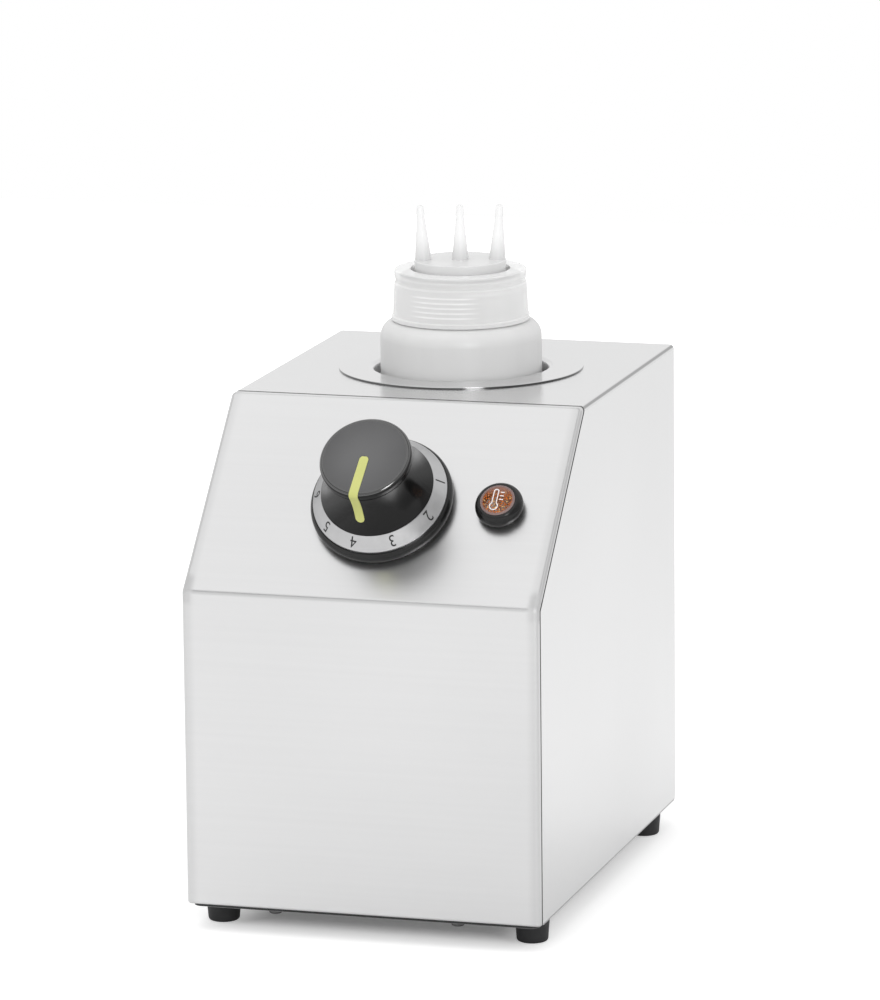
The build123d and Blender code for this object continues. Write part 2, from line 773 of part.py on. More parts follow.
# ------------------------------------------------------------------ dial and ring
with BuildPart() as dial_base:
    with BuildSketch(section(dial_face)):
        with BuildLine():
            Polyline(
                (ring_radius - ring_sheet - loose, dial_shoulder),
                (ring_inner_radius - ring_sheet, ring_top - 2 * ring_sheet),
                (ring_inner_radius - ring_sheet - 2 * ring_lip, ring_top - 2 * ring_sheet),
                (ring_inner_radius - ring_sheet - 2 * ring_lip, dial_floor),
                (dial_bore, dial_floor),
                (dial_bore, 0),
                (dial_foot_radius, 0),
            )
            ThreePointArc(
                (dial_foot_radius, 0), (dial_radius, dial_belly), (dial_shoulder_radius, dial_shoulder)
            )
            Line((dial_shoulder_radius, dial_shoulder), (ring_radius - ring_sheet - loose, dial_shoulder))
        make_face()
    revolve(axis=axis_of(dial_face))
    with BuildSketch(raised(dial_face, dial_floor + 1)):
        with GridLocations(thermostat_hole_spacing, 0, 2, 1):
            Circle(m4_radius + clear)
    extrude(amount=-dial_floor - 2, mode=Mode.SUBTRACT)

with BuildPart() as dial_ring:
    with BuildSketch(section(dial_face)):
        with BuildLine():
            Polyline(
                (ring_radius, dial_shoulder), (ring_radius, ring_edge),
                (ring_inner_radius, ring_top), (ring_inner_radius - ring_lip, ring_top),
                (ring_inner_radius - ring_lip, ring_top - ring_sheet),
                (ring_inner_radius - ring_sheet / 2, ring_top - ring_sheet),
                (ring_radius - ring_sheet, ring_edge - ring_sheet / 2),
                (ring_radius - ring_sheet, dial_shoulder), close=True,
            )
        make_face()
    revolve(axis=axis_of(dial_face))

# ------------------------------------------------------------------ knob
skirt_z = ring_top + gap
crown_z = knob_shoulder + cap_groove
with BuildPart() as knob_body:
    with BuildSketch(section(dial_face)):
        with BuildLine():
            ThreePointArc(
                (knob_skirt_radius, skirt_z), (knob_waist_radius, knob_waist),
                (knob_neck_radius, knob_shoulder),
            )
            Polyline(
                (knob_neck_radius, knob_shoulder), (0, knob_shoulder), (0, spindle_top + gap),
                (hub_radius, spindle_top + gap), (hub_radius, knob_shoulder - knob_wall),
                (knob_neck_radius - knob_wall, knob_shoulder - knob_wall),
            )
            ThreePointArc(
                (knob_neck_radius - knob_wall, knob_shoulder - knob_wall),
                (knob_waist_radius - knob_wall, knob_waist),
                (knob_skirt_radius - knob_wall, skirt_z),
            )
            Line((knob_skirt_radius - knob_wall, skirt_z), (knob_skirt_radius, skirt_z))
        make_face()
    revolve(axis=axis_of(dial_face))
    # The hub that drives the spindle, with its D-shaped bore.
    with BuildSketch(raised(dial_face, flat_start)):
        Circle(hub_radius)
        Circle(spindle_radius + slip, mode=Mode.SUBTRACT)
    extrude(amount=spindle_top + gap - flat_start)
    with BuildSketch(raised(dial_face, flat_start)):
        with Locations((0, spindle_flat + slip + spindle_radius / 2)):
            Rectangle(2 * spindle_radius, spindle_radius)
        Circle(spindle_radius + 2 * slip, mode=Mode.INTERSECT)
    extrude(amount=spindle_top + gap - flat_start)

with BuildPart() as knob_cap:
    with BuildSketch(section(dial_face)):
        with BuildLine():
            Polyline(
                (0, knob_shoulder), (knob_neck_radius - cap_groove_depth, knob_shoulder),
                (knob_neck_radius - cap_groove_depth, crown_z), (cap_radius, crown_z),
                (cap_radius, knob_height), (0, knob_height), close=True,
            )
        make_face()
    revolve(axis=axis_of(dial_face))
    rims = knob_cap.edges().filter_by(GeomType.CIRCLE).sort_by(Axis(dial_face.origin, dial_face.z_dir))
    fillet(rims[-1], cap_round)

with BuildPart() as thermostat_spindle:
    with BuildSketch(raised(dial_face, -spindle_foot)):
        Circle(spindle_radius)
    extrude(amount=spindle_foot + flat_start)
    with BuildSketch(raised(dial_face, flat_start)):
        Circle(spindle_radius)
        with Locations((0, spindle_flat + spindle_radius / 2)):
            Rectangle(2 * spindle_radius, spindle_radius, mode=Mode.SUBTRACT)
    extrude(amount=spindle_top - flat_start)

# The pointer lies in a groove over the cap's top, across its rim and down the skirt.
pointer_face = Plane(dial_face.location * Rotation(0, 0, -pointer_angle))


def pointer_layer(proud, depth, side):
    """The strip of a layer over the knob's outline that the pointer fills, `side` wider all round."""
    with BuildPart(mode=Mode.PRIVATE) as layer:
        with BuildSketch(section(dial_face)):
            with BuildLine():
                outer = [
                    (0, knob_height + proud), (cap_radius - cap_round, knob_height + proud),
                ]
                Polyline(*outer)
                RadiusArc(
                    outer[1], (cap_radius + proud, knob_height - cap_round), cap_round + proud
                )
                Line(
                    (cap_radius + proud, knob_height - cap_round),
                    (knob_neck_radius + proud, knob_shoulder),
                )
                ThreePointArc(
                    (knob_neck_radius + proud, knob_shoulder),
                    (knob_waist_radius + proud, knob_waist),
                    (knob_skirt_radius + proud, skirt_z),
                )
                Line(
                    (knob_skirt_radius + proud, skirt_z), (knob_skirt_radius - depth, skirt_z)
                )
                ThreePointArc(
                    (knob_skirt_radius - depth, skirt_z),
                    (knob_waist_radius - depth, knob_waist),
                    (knob_neck_radius - depth, knob_shoulder),
                )
                Polyline(
                    (knob_neck_radius - depth, knob_shoulder),
                    (cap_radius - cap_round - depth, knob_height - depth),
                    (0, knob_height - depth), (0, knob_height + proud),
                )
            make_face()
        revolve(axis=axis_of(dial_face))
        # Seen on the cap: a straight strip with a round end near the middle.
        with BuildSketch(pointer_face):
            with Locations((0, pointer_start + knob_skirt_radius)):
                SlotOverall(
                    2 * knob_skirt_radius + 2 * side, pointer_width + 2 * side, rotation=90
                )
        extrude(amount=2 * knob_height, mode=Mode.INTERSECT)
        # Seen on the skirt: a round lower end.
        skirt_view = Plane(
            origin=pointer_face.origin, x_dir=pointer_face.x_dir, z_dir=pointer_face.y_dir
        )
        tall = 2 * knob_height
        with BuildSketch(skirt_view):
            with Locations((0, -pointer_end - tall / 2)):
                SlotOverall(tall + 2 * side, pointer_width + 2 * side, rotation=90)
        extrude(amount=2 * knob_skirt_radius, mode=Mode.INTERSECT)
    return layer.part


with BuildPart() as knob_pointer:
    add(pointer_layer(pointer_proud, pointer_depth, 0))

pointer_groove = pointer_layer(2 * pointer_proud, pointer_depth + slip, slip)
with knob_body:
    add(pointer_groove, mode=Mode.SUBTRACT)
with knob_cap:
    add(pointer_groove, mode=Mode.SUBTRACT)

# ------------------------------------------------------------------ lamp
lamp_face = face_plane(lamp_x, lamp_up)
lens_rise = lens_height - lens_edge
lens_dome = (lens_radius**2 + lens_rise**2) / (2 * lens_rise)
with BuildPart() as lamp_bezel:
    with BuildSketch(section(lamp_face)):
        with BuildLine():
            ThreePointArc(
                (lamp_foot_radius, 0), (lamp_radius, lamp_belly), (lamp_rim_radius, lamp_height)
            )
            Polyline(
                (lamp_rim_radius, lamp_height), (lens_radius + slip, lamp_height),
                (lens_radius + slip, lens_seat), (lamp_tube_radius + slip, lens_seat),
                (lamp_tube_radius + slip, 0), (lamp_foot_radius, 0),
            )
        make_face()
    revolve(axis=axis_of(lamp_face))

with BuildPart() as lamp_lens:
    with BuildSketch(section(lamp_face)):
        with BuildLine():
            Polyline((0, lens_height), (0, lens_seat), (lens_radius, lens_seat), (lens_radius, lens_edge))
            RadiusArc((0, lens_height), (lens_radius, lens_edge), lens_dome)
        make_face()
    revolve(axis=axis_of(lamp_face))

with BuildPart() as lamp_body:
    with BuildSketch(raised(lamp_face, lens_seat)):
        Circle(lamp_tube_radius)
    extrude(amount=-lens_seat - lamp_tube_length)
    with BuildSketch(raised(lamp_face, -lamp_tube_length)):
        with GridLocations(0, lamp_tube_radius, 1, 2):
            Rectangle(tab_width, tab_thickness)
    extrude(amount=-tab_length)

with BuildPart() as lamp_nut:
    with BuildSketch(raised(lamp_face, -sheet)):
        RegularPolygon(lamp_nut_radius, 6)
        Circle(lamp_tube_radius + slip, mode=Mode.SUBTRACT)
    extrude(amount=-lamp_nut_height)

# ------------------------------------------------------------------ bottle
bottle_shoulder_z = top_z + bottle_shoulder
neck_top_z = top_z + neck_top
with BuildPart() as bottle_body:
    with BuildSketch(section(well_axis)):
        with BuildLine():
            FilletPolyline(
                (0, well_floor_z + push_up), (push_up_radius, well_floor_z + push_up),
                (push_up_radius + push_up, well_floor_z), (bottle_radius, well_floor_z),
                (bottle_radius, bottle_shoulder_z), (neck_radius, bottle_shoulder_z),
                (neck_radius, neck_top_z),
                radius=[1.0, 1.0 + bottle_wall, bottle_corner, shoulder_radius, neck_round],
            )
            offset(amount=bottle_wall, side=Side.LEFT)
        make_face()
    revolve(axis=axis_of(well_axis))

# ------------------------------------------------------------------ seal, nozzles and cap
with BuildPart() as neck_seal:
    with BuildSketch(Plane(origin=(well_x, well_y, neck_top_z))):
        Circle(neck_radius)
        Circle(neck_radius - bottle_wall, mode=Mode.SUBTRACT)
    extrude(amount=seal_thickness)

insert_base = neck_top + seal_thickness
flange_top = insert_base + nozzle_flange
plug_radius = neck_radius - bottle_wall - gap
with BuildPart() as nozzle_insert:
    with BuildSketch(section(Plane(origin=(well_x, well_y, top_z)))):
        with BuildLine():
            Polyline(
                (0, nozzle_hub_top), (nozzle_hub_radius, nozzle_hub_top),
                (nozzle_hub_radius, flange_top), (neck_radius, flange_top),
                (neck_radius, insert_base), (plug_radius, insert_base),
                (plug_radius, insert_base - plug_depth),
                (plug_radius - nozzle_wall, insert_base - plug_depth),
                (plug_radius - nozzle_wall, insert_base),
                (nozzle_hub_radius - nozzle_wall, insert_base),
                (nozzle_hub_radius - nozzle_wall, nozzle_hub_top - nozzle_wall),
                (0, nozzle_hub_top - nozzle_wall), close=True,
            )
        make_face()
    revolve(axis=axis_of(well_axis))
    hub_rim = nozzle_insert.edges().filter_by(GeomType.CIRCLE).sort_by(Axis.Z)[-1]
    fillet(hub_rim, 0.5)
    for i in range(nozzle_count):
        place = i - (nozzle_count - 1) / 2
        hub = Location((well_x, well_y, top_z + nozzle_hub_top), (0, 0, row_angle))
        root = Plane(hub * Location((place * nozzle_spacing, 0, 0), (0, place * nozzle_lean, 0)))
        with BuildSketch(raised(root, -nozzle_wall / 2)):
            Circle(nozzle_base_radius)
        with BuildSketch(raised(root, nozzle_height)):
            Circle(nozzle_tip_radius)
        loft()
        with BuildSketch(raised(root, -2 * nozzle_wall)):
            Circle(nozzle_bore_base)
        with BuildSketch(raised(root, nozzle_height + slip)):
            Circle(nozzle_bore_tip)
        loft(mode=Mode.SUBTRACT)

cap_bottom = bottle_shoulder + cap_lift
cap_inner = neck_radius + thread_height + gap
cap_upper_inner = neck_radius + gap
thread_top = cap_bottom + thread_zone
with BuildPart() as screw_cap:
    with BuildSketch(section(Plane(origin=(well_x, well_y, top_z)))):
        with BuildLine():
            Polyline(
                (cap_inner, cap_bottom), (skirt_radius + skirt_bead, cap_bottom),
                (skirt_radius + skirt_bead, cap_bottom + skirt_bead_height),
                (skirt_radius, cap_bottom + skirt_bead_height + skirt_bead),
                (cap_top_radius, cap_waist), (cap_waist_radius, cap_waist + skirt_bead_height / 2),
                (cap_waist_radius, cap_waist + skirt_bead_height),
                (rim_radius, cap_waist + 2 * skirt_bead_height),
                (rim_radius, rim_height - rim_edge), (rim_radius - rim_edge, rim_height),
                (hub_hole_radius, rim_height), (hub_hole_radius, flange_top),
                (cap_upper_inner, flange_top), (cap_upper_inner, thread_top),
                (cap_inner, thread_top), close=True,
            )
        make_face()
    revolve(axis=axis_of(well_axis))

# ------------------------------------------------------------------ supply inlet
with BuildPart() as gland_body:
    with BuildSketch(raised(gland_axis, back_sheet)):
        RegularPolygon(gland_hex / 2, 6, major_radius=False)
    extrude(amount=gland_collar)
    with BuildSketch(raised(gland_axis, back_sheet)):
        Circle(gland_thread_radius)
    extrude(amount=-back_sheet - sheet - gland_inner_length)
    with BuildSketch(raised(gland_axis, back_sheet + gland_collar)):
        Circle(gland_bore)
    extrude(amount=-gland_collar - back_sheet - sheet - gland_inner_length, mode=Mode.SUBTRACT)

with BuildPart() as gland_dome_nut:
    with BuildSketch(raised(gland_axis, back_sheet + gland_collar)):
        RegularPolygon(gland_hex / 2, 6, major_radius=False)
    extrude(amount=gland_dome / 2)
    with BuildSketch(raised(gland_axis, back_sheet + gland_collar + gland_dome / 2)):
        Circle(gland_dome_radius)
    extrude(amount=gland_dome / 2)
    dome_edges = gland_dome_nut.edges().filter_by(GeomType.CIRCLE).sort_by(Axis.Y)
    fillet(dome_edges[-1], gland_dome_round)
    with BuildSketch(raised(gland_axis, back_sheet + gland_collar)):
        Circle(gland_bore)
    extrude(amount=gland_dome, mode=Mode.SUBTRACT)

with BuildPart() as gland_lock_nut:
    with BuildSketch(gland_axis):
        RegularPolygon(gland_hex / 2, 6, major_radius=False)
        Circle(gland_thread_radius + slip, mode=Mode.SUBTRACT)
    extrude(amount=-gland_locknut)

# ------------------------------------------------------------------ terminals
block_z = shell_z
with BuildPart() as terminal_block:
    with BuildSketch(Plane(origin=(block_x, earth_y, block_z))):
        RectangleRounded(block_length, block_width, 1.5)
        with GridLocations(block_hole_pitch, 0, 2, 1):
            Circle(m3_radius + slip, mode=Mode.SUBTRACT)
    extrude(amount=block_height)
    with BuildSketch(Plane(origin=(block_x, earth_y, block_z + block_height))):
        with GridLocations(block_hole_pitch, 0, 2, 1):
            Circle(m3_head_radius + slip)
    extrude(amount=-block_height / 2, mode=Mode.SUBTRACT)
    with BuildSketch(
        Plane(origin=(block_x, earth_y - block_width, block_z + block_height * 0.72),
              x_dir=(1, 0, 0), z_dir=(0, 1, 0))
    ):
        with GridLocations(block_hole_pitch, 0, block_ways, 1):
            Circle(block_wire_radius / 2)
    extrude(amount=2 * block_width, mode=Mode.SUBTRACT)

with BuildPart() as terminal_screws:
    for sx in (-1, 1):
        at = Plane(origin=(block_x + sx * block_hole_pitch / 2, earth_y, block_z + block_height / 2))
        add(pan_screw(at, m3_radius, m3_head_radius, m3_head, block_height / 2 + base_sheet))

with BuildPart() as earth_stud:
    with BuildSketch(Plane(origin=(earth_x, earth_y, foot_height))):
        Circle(m4_radius)
    extrude(amount=base_sheet + 3 * m4_nut)
    add(hex_nut(Plane(origin=(earth_x, earth_y, shell_z)), m4_radius, m4_nut_width, m4_nut))

# ------------------------------------------------------------------ files
pieces = {
    "cover": cover,
    "front_panel": front_panel,
    "rear_panel": rear_panel,
    "rear_screws": rear_screws,
    "base_plate": base_plate,
    "base_screws": base_screws,
    **feet,
    "foot_screws": foot_screws,
    "foot_nuts": foot_nuts,
    "well_cup": well_cup,
    "well_nuts": well_nuts,
    "heater_band": heater_band,
    "clamp_screws": clamp_screws,
    "clamp_nuts": clamp_nuts,
    "insulation_sleeve": insulation_sleeve,
    "limit_cutout": limit_cutout,
    "cutout_nuts": cutout_nuts,
    "thermostat_body": thermostat_body,
    "thermostat_screws": thermostat_screws,
    "capillary_tube": capillary_tube,
    "sensor_bulb": sensor_bulb,
    "dial_base": dial_base,
    "dial_ring": dial_ring,
    "knob_body": knob_body,
    "knob_cap": knob_cap,
    "knob_pointer": knob_pointer,
    "thermostat_spindle": thermostat_spindle,
    "lamp_bezel": lamp_bezel,
    "lamp_lens": lamp_lens,
    "lamp_body": lamp_body,
    "lamp_nut": lamp_nut,
    "bottle_body": bottle_body,
    "neck_seal": neck_seal,
    "nozzle_insert": nozzle_insert,
    "screw_cap": screw_cap,
    "gland_body": gland_body,
    "gland_dome_nut": gland_dome_nut,
    "gland_lock_nut": gland_lock_nut,
    "terminal_block": terminal_block,
    "terminal_screws": terminal_screws,
    "earth_stud": earth_stud,
}
for piece_name, piece in pieces.items():
    keep(piece, piece_name)
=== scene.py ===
"""Looks of a bottle topping warmer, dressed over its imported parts. Metres, +Z up, the front faces -Y."""

import json
from math import atan2, cos, pi, radians, sin, sqrt

import bmesh
import bpy
from mathutils import Matrix, Vector


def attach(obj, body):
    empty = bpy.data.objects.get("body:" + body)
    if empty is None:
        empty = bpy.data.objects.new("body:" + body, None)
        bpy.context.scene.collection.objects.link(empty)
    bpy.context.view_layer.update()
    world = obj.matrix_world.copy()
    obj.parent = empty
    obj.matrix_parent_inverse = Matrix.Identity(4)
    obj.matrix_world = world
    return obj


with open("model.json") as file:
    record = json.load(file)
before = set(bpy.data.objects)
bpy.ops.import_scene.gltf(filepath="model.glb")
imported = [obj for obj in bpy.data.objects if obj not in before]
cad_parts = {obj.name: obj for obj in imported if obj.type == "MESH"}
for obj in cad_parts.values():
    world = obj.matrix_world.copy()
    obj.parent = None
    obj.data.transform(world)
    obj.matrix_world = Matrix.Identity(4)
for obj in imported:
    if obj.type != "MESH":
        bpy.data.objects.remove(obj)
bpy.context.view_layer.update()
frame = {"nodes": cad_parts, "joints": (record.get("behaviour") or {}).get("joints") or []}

MM = 0.001

# ------------------------------------------------------------------ sizes of the parts dressed here
half_width = 77.5 * MM
shell_z = 11.5 * MM
base_sheet = 1.2 * MM
top_z = 218.0 * MM
fold_z = 146.7 * MM
front_y = -118.473 * MM
slant = radians(45.356)
lamp_across, lamp_up = 52.15 * MM, 48.0 * MM

ring_outer, ring_outer_height = 28.7 * MM, 7.7 * MM
ring_inner, ring_inner_height = 24.05 * MM, 12.9 * MM
knob_height, pointer_width, pointer_start = 36.4 * MM, 3.9 * MM, -0.25 * MM
pointer_heading = radians(183.7)  # clockwise from the top of the dial
lens_radius, lens_edge, lens_height, lens_seat = 7.4 * MM, 7.2 * MM, 8.1 * MM, 3.0 * MM
neck_radius = 26.0 * MM
flange_radius = 53.0 * MM
corner_lap, corner_gap = 2.4 * MM, 0.8 * MM
cap_flat, thread_pitch = 17.85 * MM, 2.1 * MM
hub_top = top_z + 47.3 * MM

joints = {joint["name"]: joint for joint in frame["joints"]}
well_axis = Vector(joints["cap_turn"]["pos_m"])
dial_centre = Vector(joints["knob_turn"]["pos_m"])


def face_seat(centre):
    """The frame of the sloping control face at a point: X to the right, Y up the slope, Z out of it."""
    upward = Vector((0, cos(slant), sin(slant)))
    outward = Vector((0, -sin(slant), cos(slant)))
    seat = Matrix((Vector((1, 0, 0)), upward, outward)).transposed().to_4x4()
    seat.translation = centre
    return seat


dial_seat = face_seat(dial_centre)
lamp_seat = face_seat(
    Vector((lamp_across, front_y + lamp_up * cos(slant), fold_z + lamp_up * sin(slant)))
)


# ------------------------------------------------------------------ camera
azimuth, elevation, roll = radians(16.65), radians(11.73), radians(-0.60)
camera_distance = 2.832
aim = Vector((0, -18.473 * MM, 131.5 * MM))
aim_across, aim_up = 5.3 * MM, 36.7 * MM
focal_pixels, frame_height, sensor = 6601, 1000, 36.0

backward = Vector(
    (sin(azimuth) * cos(elevation), -cos(azimuth) * cos(elevation), sin(elevation))
)
level_right = backward.cross(Vector((0, 0, -1))).normalized()
level_up = backward.cross(level_right)
view_right = cos(roll) * level_right + sin(roll) * level_up
view_up = cos(roll) * level_up - sin(roll) * level_right
lens_data = bpy.data.cameras.new("camera")
lens_data.sensor_width = sensor
lens_data.lens = focal_pixels * sensor / frame_height
lens_data.clip_end = 60
camera = bpy.data.objects.new("camera", lens_data)
camera.matrix_world = Matrix((view_right, view_up, backward)).transposed().to_4x4()
camera.location = aim + backward * camera_distance + view_right * aim_across + view_up * aim_up
bpy.context.scene.collection.objects.link(camera)
bpy.context.scene.camera = camera
bpy.context.scene.view_settings.view_transform = "Standard"


# ------------------------------------------------------------------ finishes
class Wire:
    """A shader value in an expression: each operator adds the Math node that works it out."""

    def __init__(self, finish, socket):
        self.finish, self.socket = finish, socket

    def math(self, operation, *values):
        return self.finish.node("ShaderNodeMath", {"operation": operation}, dict(enumerate(values)))

    def __add__(self, other):
        return self.math("ADD", self, other)

    def __sub__(self, other):
        return self.math("SUBTRACT", self, other)

    def __mul__(self, other):
        return self.math("MULTIPLY", self, other)

    def __truediv__(self, other):
        return self.math("DIVIDE", self, other)

    def __rsub__(self, other):
        return self.math("SUBTRACT", other, self)

    def __abs__(self):
        return self.math("ABSOLUTE", self)

    def above(self, other):
        """The larger of two values."""
        return self.math("MAXIMUM", self, other)

    def root(self):
        return self.math("SQRT", self)

    def sine(self):
        return self.math("SINE", self)

    def along(self, direction, origin=(0, 0, 0)):
        """How far a point lies along a direction from an origin."""
        away = self.finish.node("ShaderNodeVectorMath", {"operation": "SUBTRACT"}, {0: self, 1: origin})
        inputs = {0: away, 1: direction}
        return self.finish.node("ShaderNodeVectorMath", {"operation": "DOT_PRODUCT"}, inputs, "Value")

    __radd__, __rmul__ = __add__, __mul__

    def step(self, low, high):
        """0 below `low`, 1 above `high` and smooth between them."""
        inputs = {"Value": self, "From Min": low, "From Max": high}
        return self.finish.node("ShaderNodeMapRange", {"interpolation_type": "SMOOTHSTEP"}, inputs)

    def span(self, low, high):
        """A 0 to 1 value made to run from `low` to `high`."""
        inputs = {"Value": self, "To Min": low, "To Max": high}
        return self.finish.node("ShaderNodeMapRange", {}, inputs)


class Finish:
    """The node tree of one material or of the world."""

    def __init__(self, owner, output):
        owner.use_nodes = True
        self.owner, self.tree = owner, owner.node_tree
        self.tree.nodes.clear()
        self.output = self.tree.nodes.new(output)

    def node(self, kind, settings=None, inputs=None, output=0):
        """Any node: its settings first, then the value or link of each socket named in `inputs`."""
        made = self.tree.nodes.new(kind)
        for name, value in (settings or {}).items():
            if name == "stops":
                for stop, (place, colour) in enumerate(value):
                    ramp = made.color_ramp.elements
                    point = ramp[stop] if stop < len(ramp) else ramp.new(place)
                    point.position, point.color = place, (*colour, 1)
            else:
                setattr(made, name, value)
        for name, value in (inputs or {}).items():
            if isinstance(value, Wire):
                self.tree.links.new(value.socket, made.inputs[name])
            else:
                made.inputs[name].default_value = value
        return Wire(self, made.outputs[output])

    def place(self):
        """Object coordinates."""
        return self.node("ShaderNodeTexCoord", output="Object")

    def axes(self, vector):
        """The three parts of a vector."""
        split = self.node("ShaderNodeSeparateXYZ", inputs={"Vector": vector}).socket.node
        return [Wire(self, socket) for socket in split.outputs]

    def noise(self, vector, scale, detail=2.0, roughness=0.5):
        """Noise of `scale` cells per metre, or a scale for each axis."""
        if not isinstance(scale, (int, float)):
            vector = self.node("ShaderNodeMapping", inputs={"Vector": vector, "Scale": scale})
            scale = 1.0
        inputs = {"Vector": vector, "Scale": scale, "Detail": detail, "Roughness": roughness}
        return self.node("ShaderNodeTexNoise", inputs=inputs)

    def mix(self, factor, first, second):
        """A colour between two colours."""
        inputs = {"Factor": factor}
        for socket, value in (("A", first), ("B", second)):
            inputs[socket] = value if isinstance(value, Wire) else (*value, 1)
        made = self.tree.nodes.new("ShaderNodeMix")
        made.data_type = "RGBA"
        sockets = {"Factor": 0, "A": 6, "B": 7}
        for name, value in inputs.items():
            if isinstance(value, Wire):
                self.tree.links.new(value.socket, made.inputs[sockets[name]])
            else:
                made.inputs[sockets[name]].default_value = value
        return Wire(self, made.outputs[2])

    def bump(self, height, strength, distance):
        """A normal from a height."""
        inputs = {"Height": height, "Strength": strength, "Distance": distance}
        return self.node("ShaderNodeBump", inputs=inputs)

    def shade(self, **inputs):
        """The Principled shader, with underscores for the spaces in its sockets' names."""
        named = {name.replace("_", " "): value for name, value in inputs.items()}
        for name, value in named.items():
            if isinstance(value, tuple) and len(value) == 3 and "Radius" not in name:
                named[name] = (*value, 1)
        return self.node("ShaderNodeBsdfPrincipled", inputs=named)

    def done(self, shader):
        """Feeds the output and gives the finished material back."""
        self.tree.links.new(shader.socket, self.output.inputs["Surface"])
        return self.owner


def finish(name):
    return Finish(bpy.data.materials.new(name), "ShaderNodeOutputMaterial")


def grain(paint, side_start=None):
    """Brushing along X, which turns to run along Z where the sheet is bent down past `side_start`."""
    place = paint.place()
    fine = paint.noise(place, (14, 5200, 5200), 3.0, 0.6)
    broad = paint.noise(place, (6, 420, 420), 2.0, 0.55)
    if side_start is None:
        return fine, broad
    side = abs(paint.axes(place)[0]).step(side_start, side_start + 1.5 * MM)
    fine_down = paint.noise(place, (5200, 5200, 14), 3.0, 0.6)
    broad_down = paint.noise(place, (420, 420, 6), 2.0, 0.55)
    return fine + side * (fine_down - fine), broad + side * (broad_down - broad)


def behind_face(place):
    """How far a point lies behind the front panel's outer face."""
    front = place.along((0, 1, 0), (0, front_y, 0))
    face = place.along((0, sin(slant), -cos(slant)), (0, front_y, fold_z))
    return 0.0 - (0.0 - front).above(0.0 - face)


def cover_edge_shade(paint, place):
    """Painted shade and painted dark reflection on the cover: shade over its front edge inside the open joint, a dark
    reflection line along its upper bends and a shade line along its foot.
    """
    across, _, height = paint.axes(place)
    # Painted dark reflection: a dark line along the upper bends.
    fold = (abs(across) + height).step(half_width + top_z - 1.55 * MM, half_width + top_z - 1.3 * MM)
    # Painted shade: the cover's front edge, inside the open joint.
    cut = 1.0 - behind_face(place).step(corner_lap + corner_gap + 0.3 * MM, corner_lap + corner_gap + 0.5 * MM)
    # Painted shade: a dark line along the foot.
    foot = 1.0 - height.step(shell_z + 0.6 * MM, shell_z + 0.9 * MM)
    return (fold * 0.6).above(cut * 0.85).above(foot * 0.5)


def panel_edge_shade(paint, place):
    """Painted shade on the panel: a slight darkening towards its side bends, and its edge inside the open joint."""
    across = abs(paint.axes(place)[0])
    cut = behind_face(place).step(corner_lap - 0.4 * MM, corner_lap - 0.2 * MM)
    # Painted shade: slight towards the side bends, strong at the edge inside the open joint.
    return (across.step(half_width - 6 * MM, half_width - 2 * MM) * 0.10).above(cut * 0.85)


def fold_ends(paint, place):
    """The two corners where the panel's fold meets its side bends, too worked to shine."""
    away = abs(place.along((0, 1, 0), (0, front_y, fold_z))).above(abs(place.along((0, 0, 1), (0, front_y, fold_z))))
    return abs(paint.axes(place)[0]).step(half_width - 6 * MM, half_width - 3 * MM) * (1.0 - away.step(4 * MM, 7 * MM)) * 0.35


def flange_shadow_line(paint, place):
    """A painted shadow line round the flange's edge, in place of the shadow gap under it."""
    away = place.along((1, 0, 0), well_axis)
    aback = place.along((0, 1, 0), well_axis)
    radius = (away * away + aback * aback).root()
    low = 1.0 - paint.axes(place)[2].step(top_z + 0.45 * MM, top_z + 0.65 * MM)
    return radius.step(flange_radius - 0.25 * MM, flange_radius - 0.1 * MM) * low * 0.85


def inside_well(paint, place):
    """The well's inner wall, which use has dulled."""
    return (1.0 - paint.axes(place)[2].step(top_z - 0.8 * MM, top_z)) * 0.45


def brushed_steel(name, colour, roughness, side_start=None, depth=1.0, dark=None, dull=None):
    """Stainless sheet with a drawn grain and a faint cloudiness, painted darker where the mask given as `dark` lays
    painted shade and painted dark reflection at its edges and bends.
    """
    paint = finish(name)
    fine, broad = grain(paint, side_start)
    cloud = paint.noise(paint.place(), 8.0, 1.0)
    streak = broad.span(-0.1, 0.1) + cloud.span(-0.3, 0.3)
    tone = paint.mix(streak + 0.5, [c * 0.9 for c in colour], [c * 1.1 for c in colour])
    # Painted shade and painted dark reflection: the `dark` mask blends the sheet towards near-black.
    if dark:
        tone = paint.mix(dark(paint, paint.place()), tone, (0.03, 0.03, 0.03))
    gloss = streak * 0.12 + roughness
    if dull:
        gloss = gloss + dull(paint, paint.place())
    return paint.done(
        paint.shade(
            Base_Color=tone,
            Metallic=1.0,
            Roughness=gloss,
            Normal=paint.bump(fine * 0.7 + broad * 0.3, 0.5, 0.03 * depth * MM),
        )
    )


def moulded(name, colour, roughness, coat=0.0, grit=1.0, **constants):
    """Moulded plastic: fine spark-eroded grit and a slow change of gloss."""
    paint = finish(name)
    place = paint.place()
    fine = paint.noise(place, 3800, 2.0, 0.6)
    slow = paint.noise(place, 60, 3.0)
    tone = paint.mix(slow, [c * 0.88 for c in colour], [min(1.0, c * 1.12) for c in colour])
    return paint.done(
        paint.shade(
            Base_Color=tone,
            Roughness=slow.span(roughness * 0.85, roughness * 1.15),
            Coat_Weight=coat,
            Normal=paint.bump(fine, 0.12 * grit, 0.03 * MM),
            **constants,
        )
    )


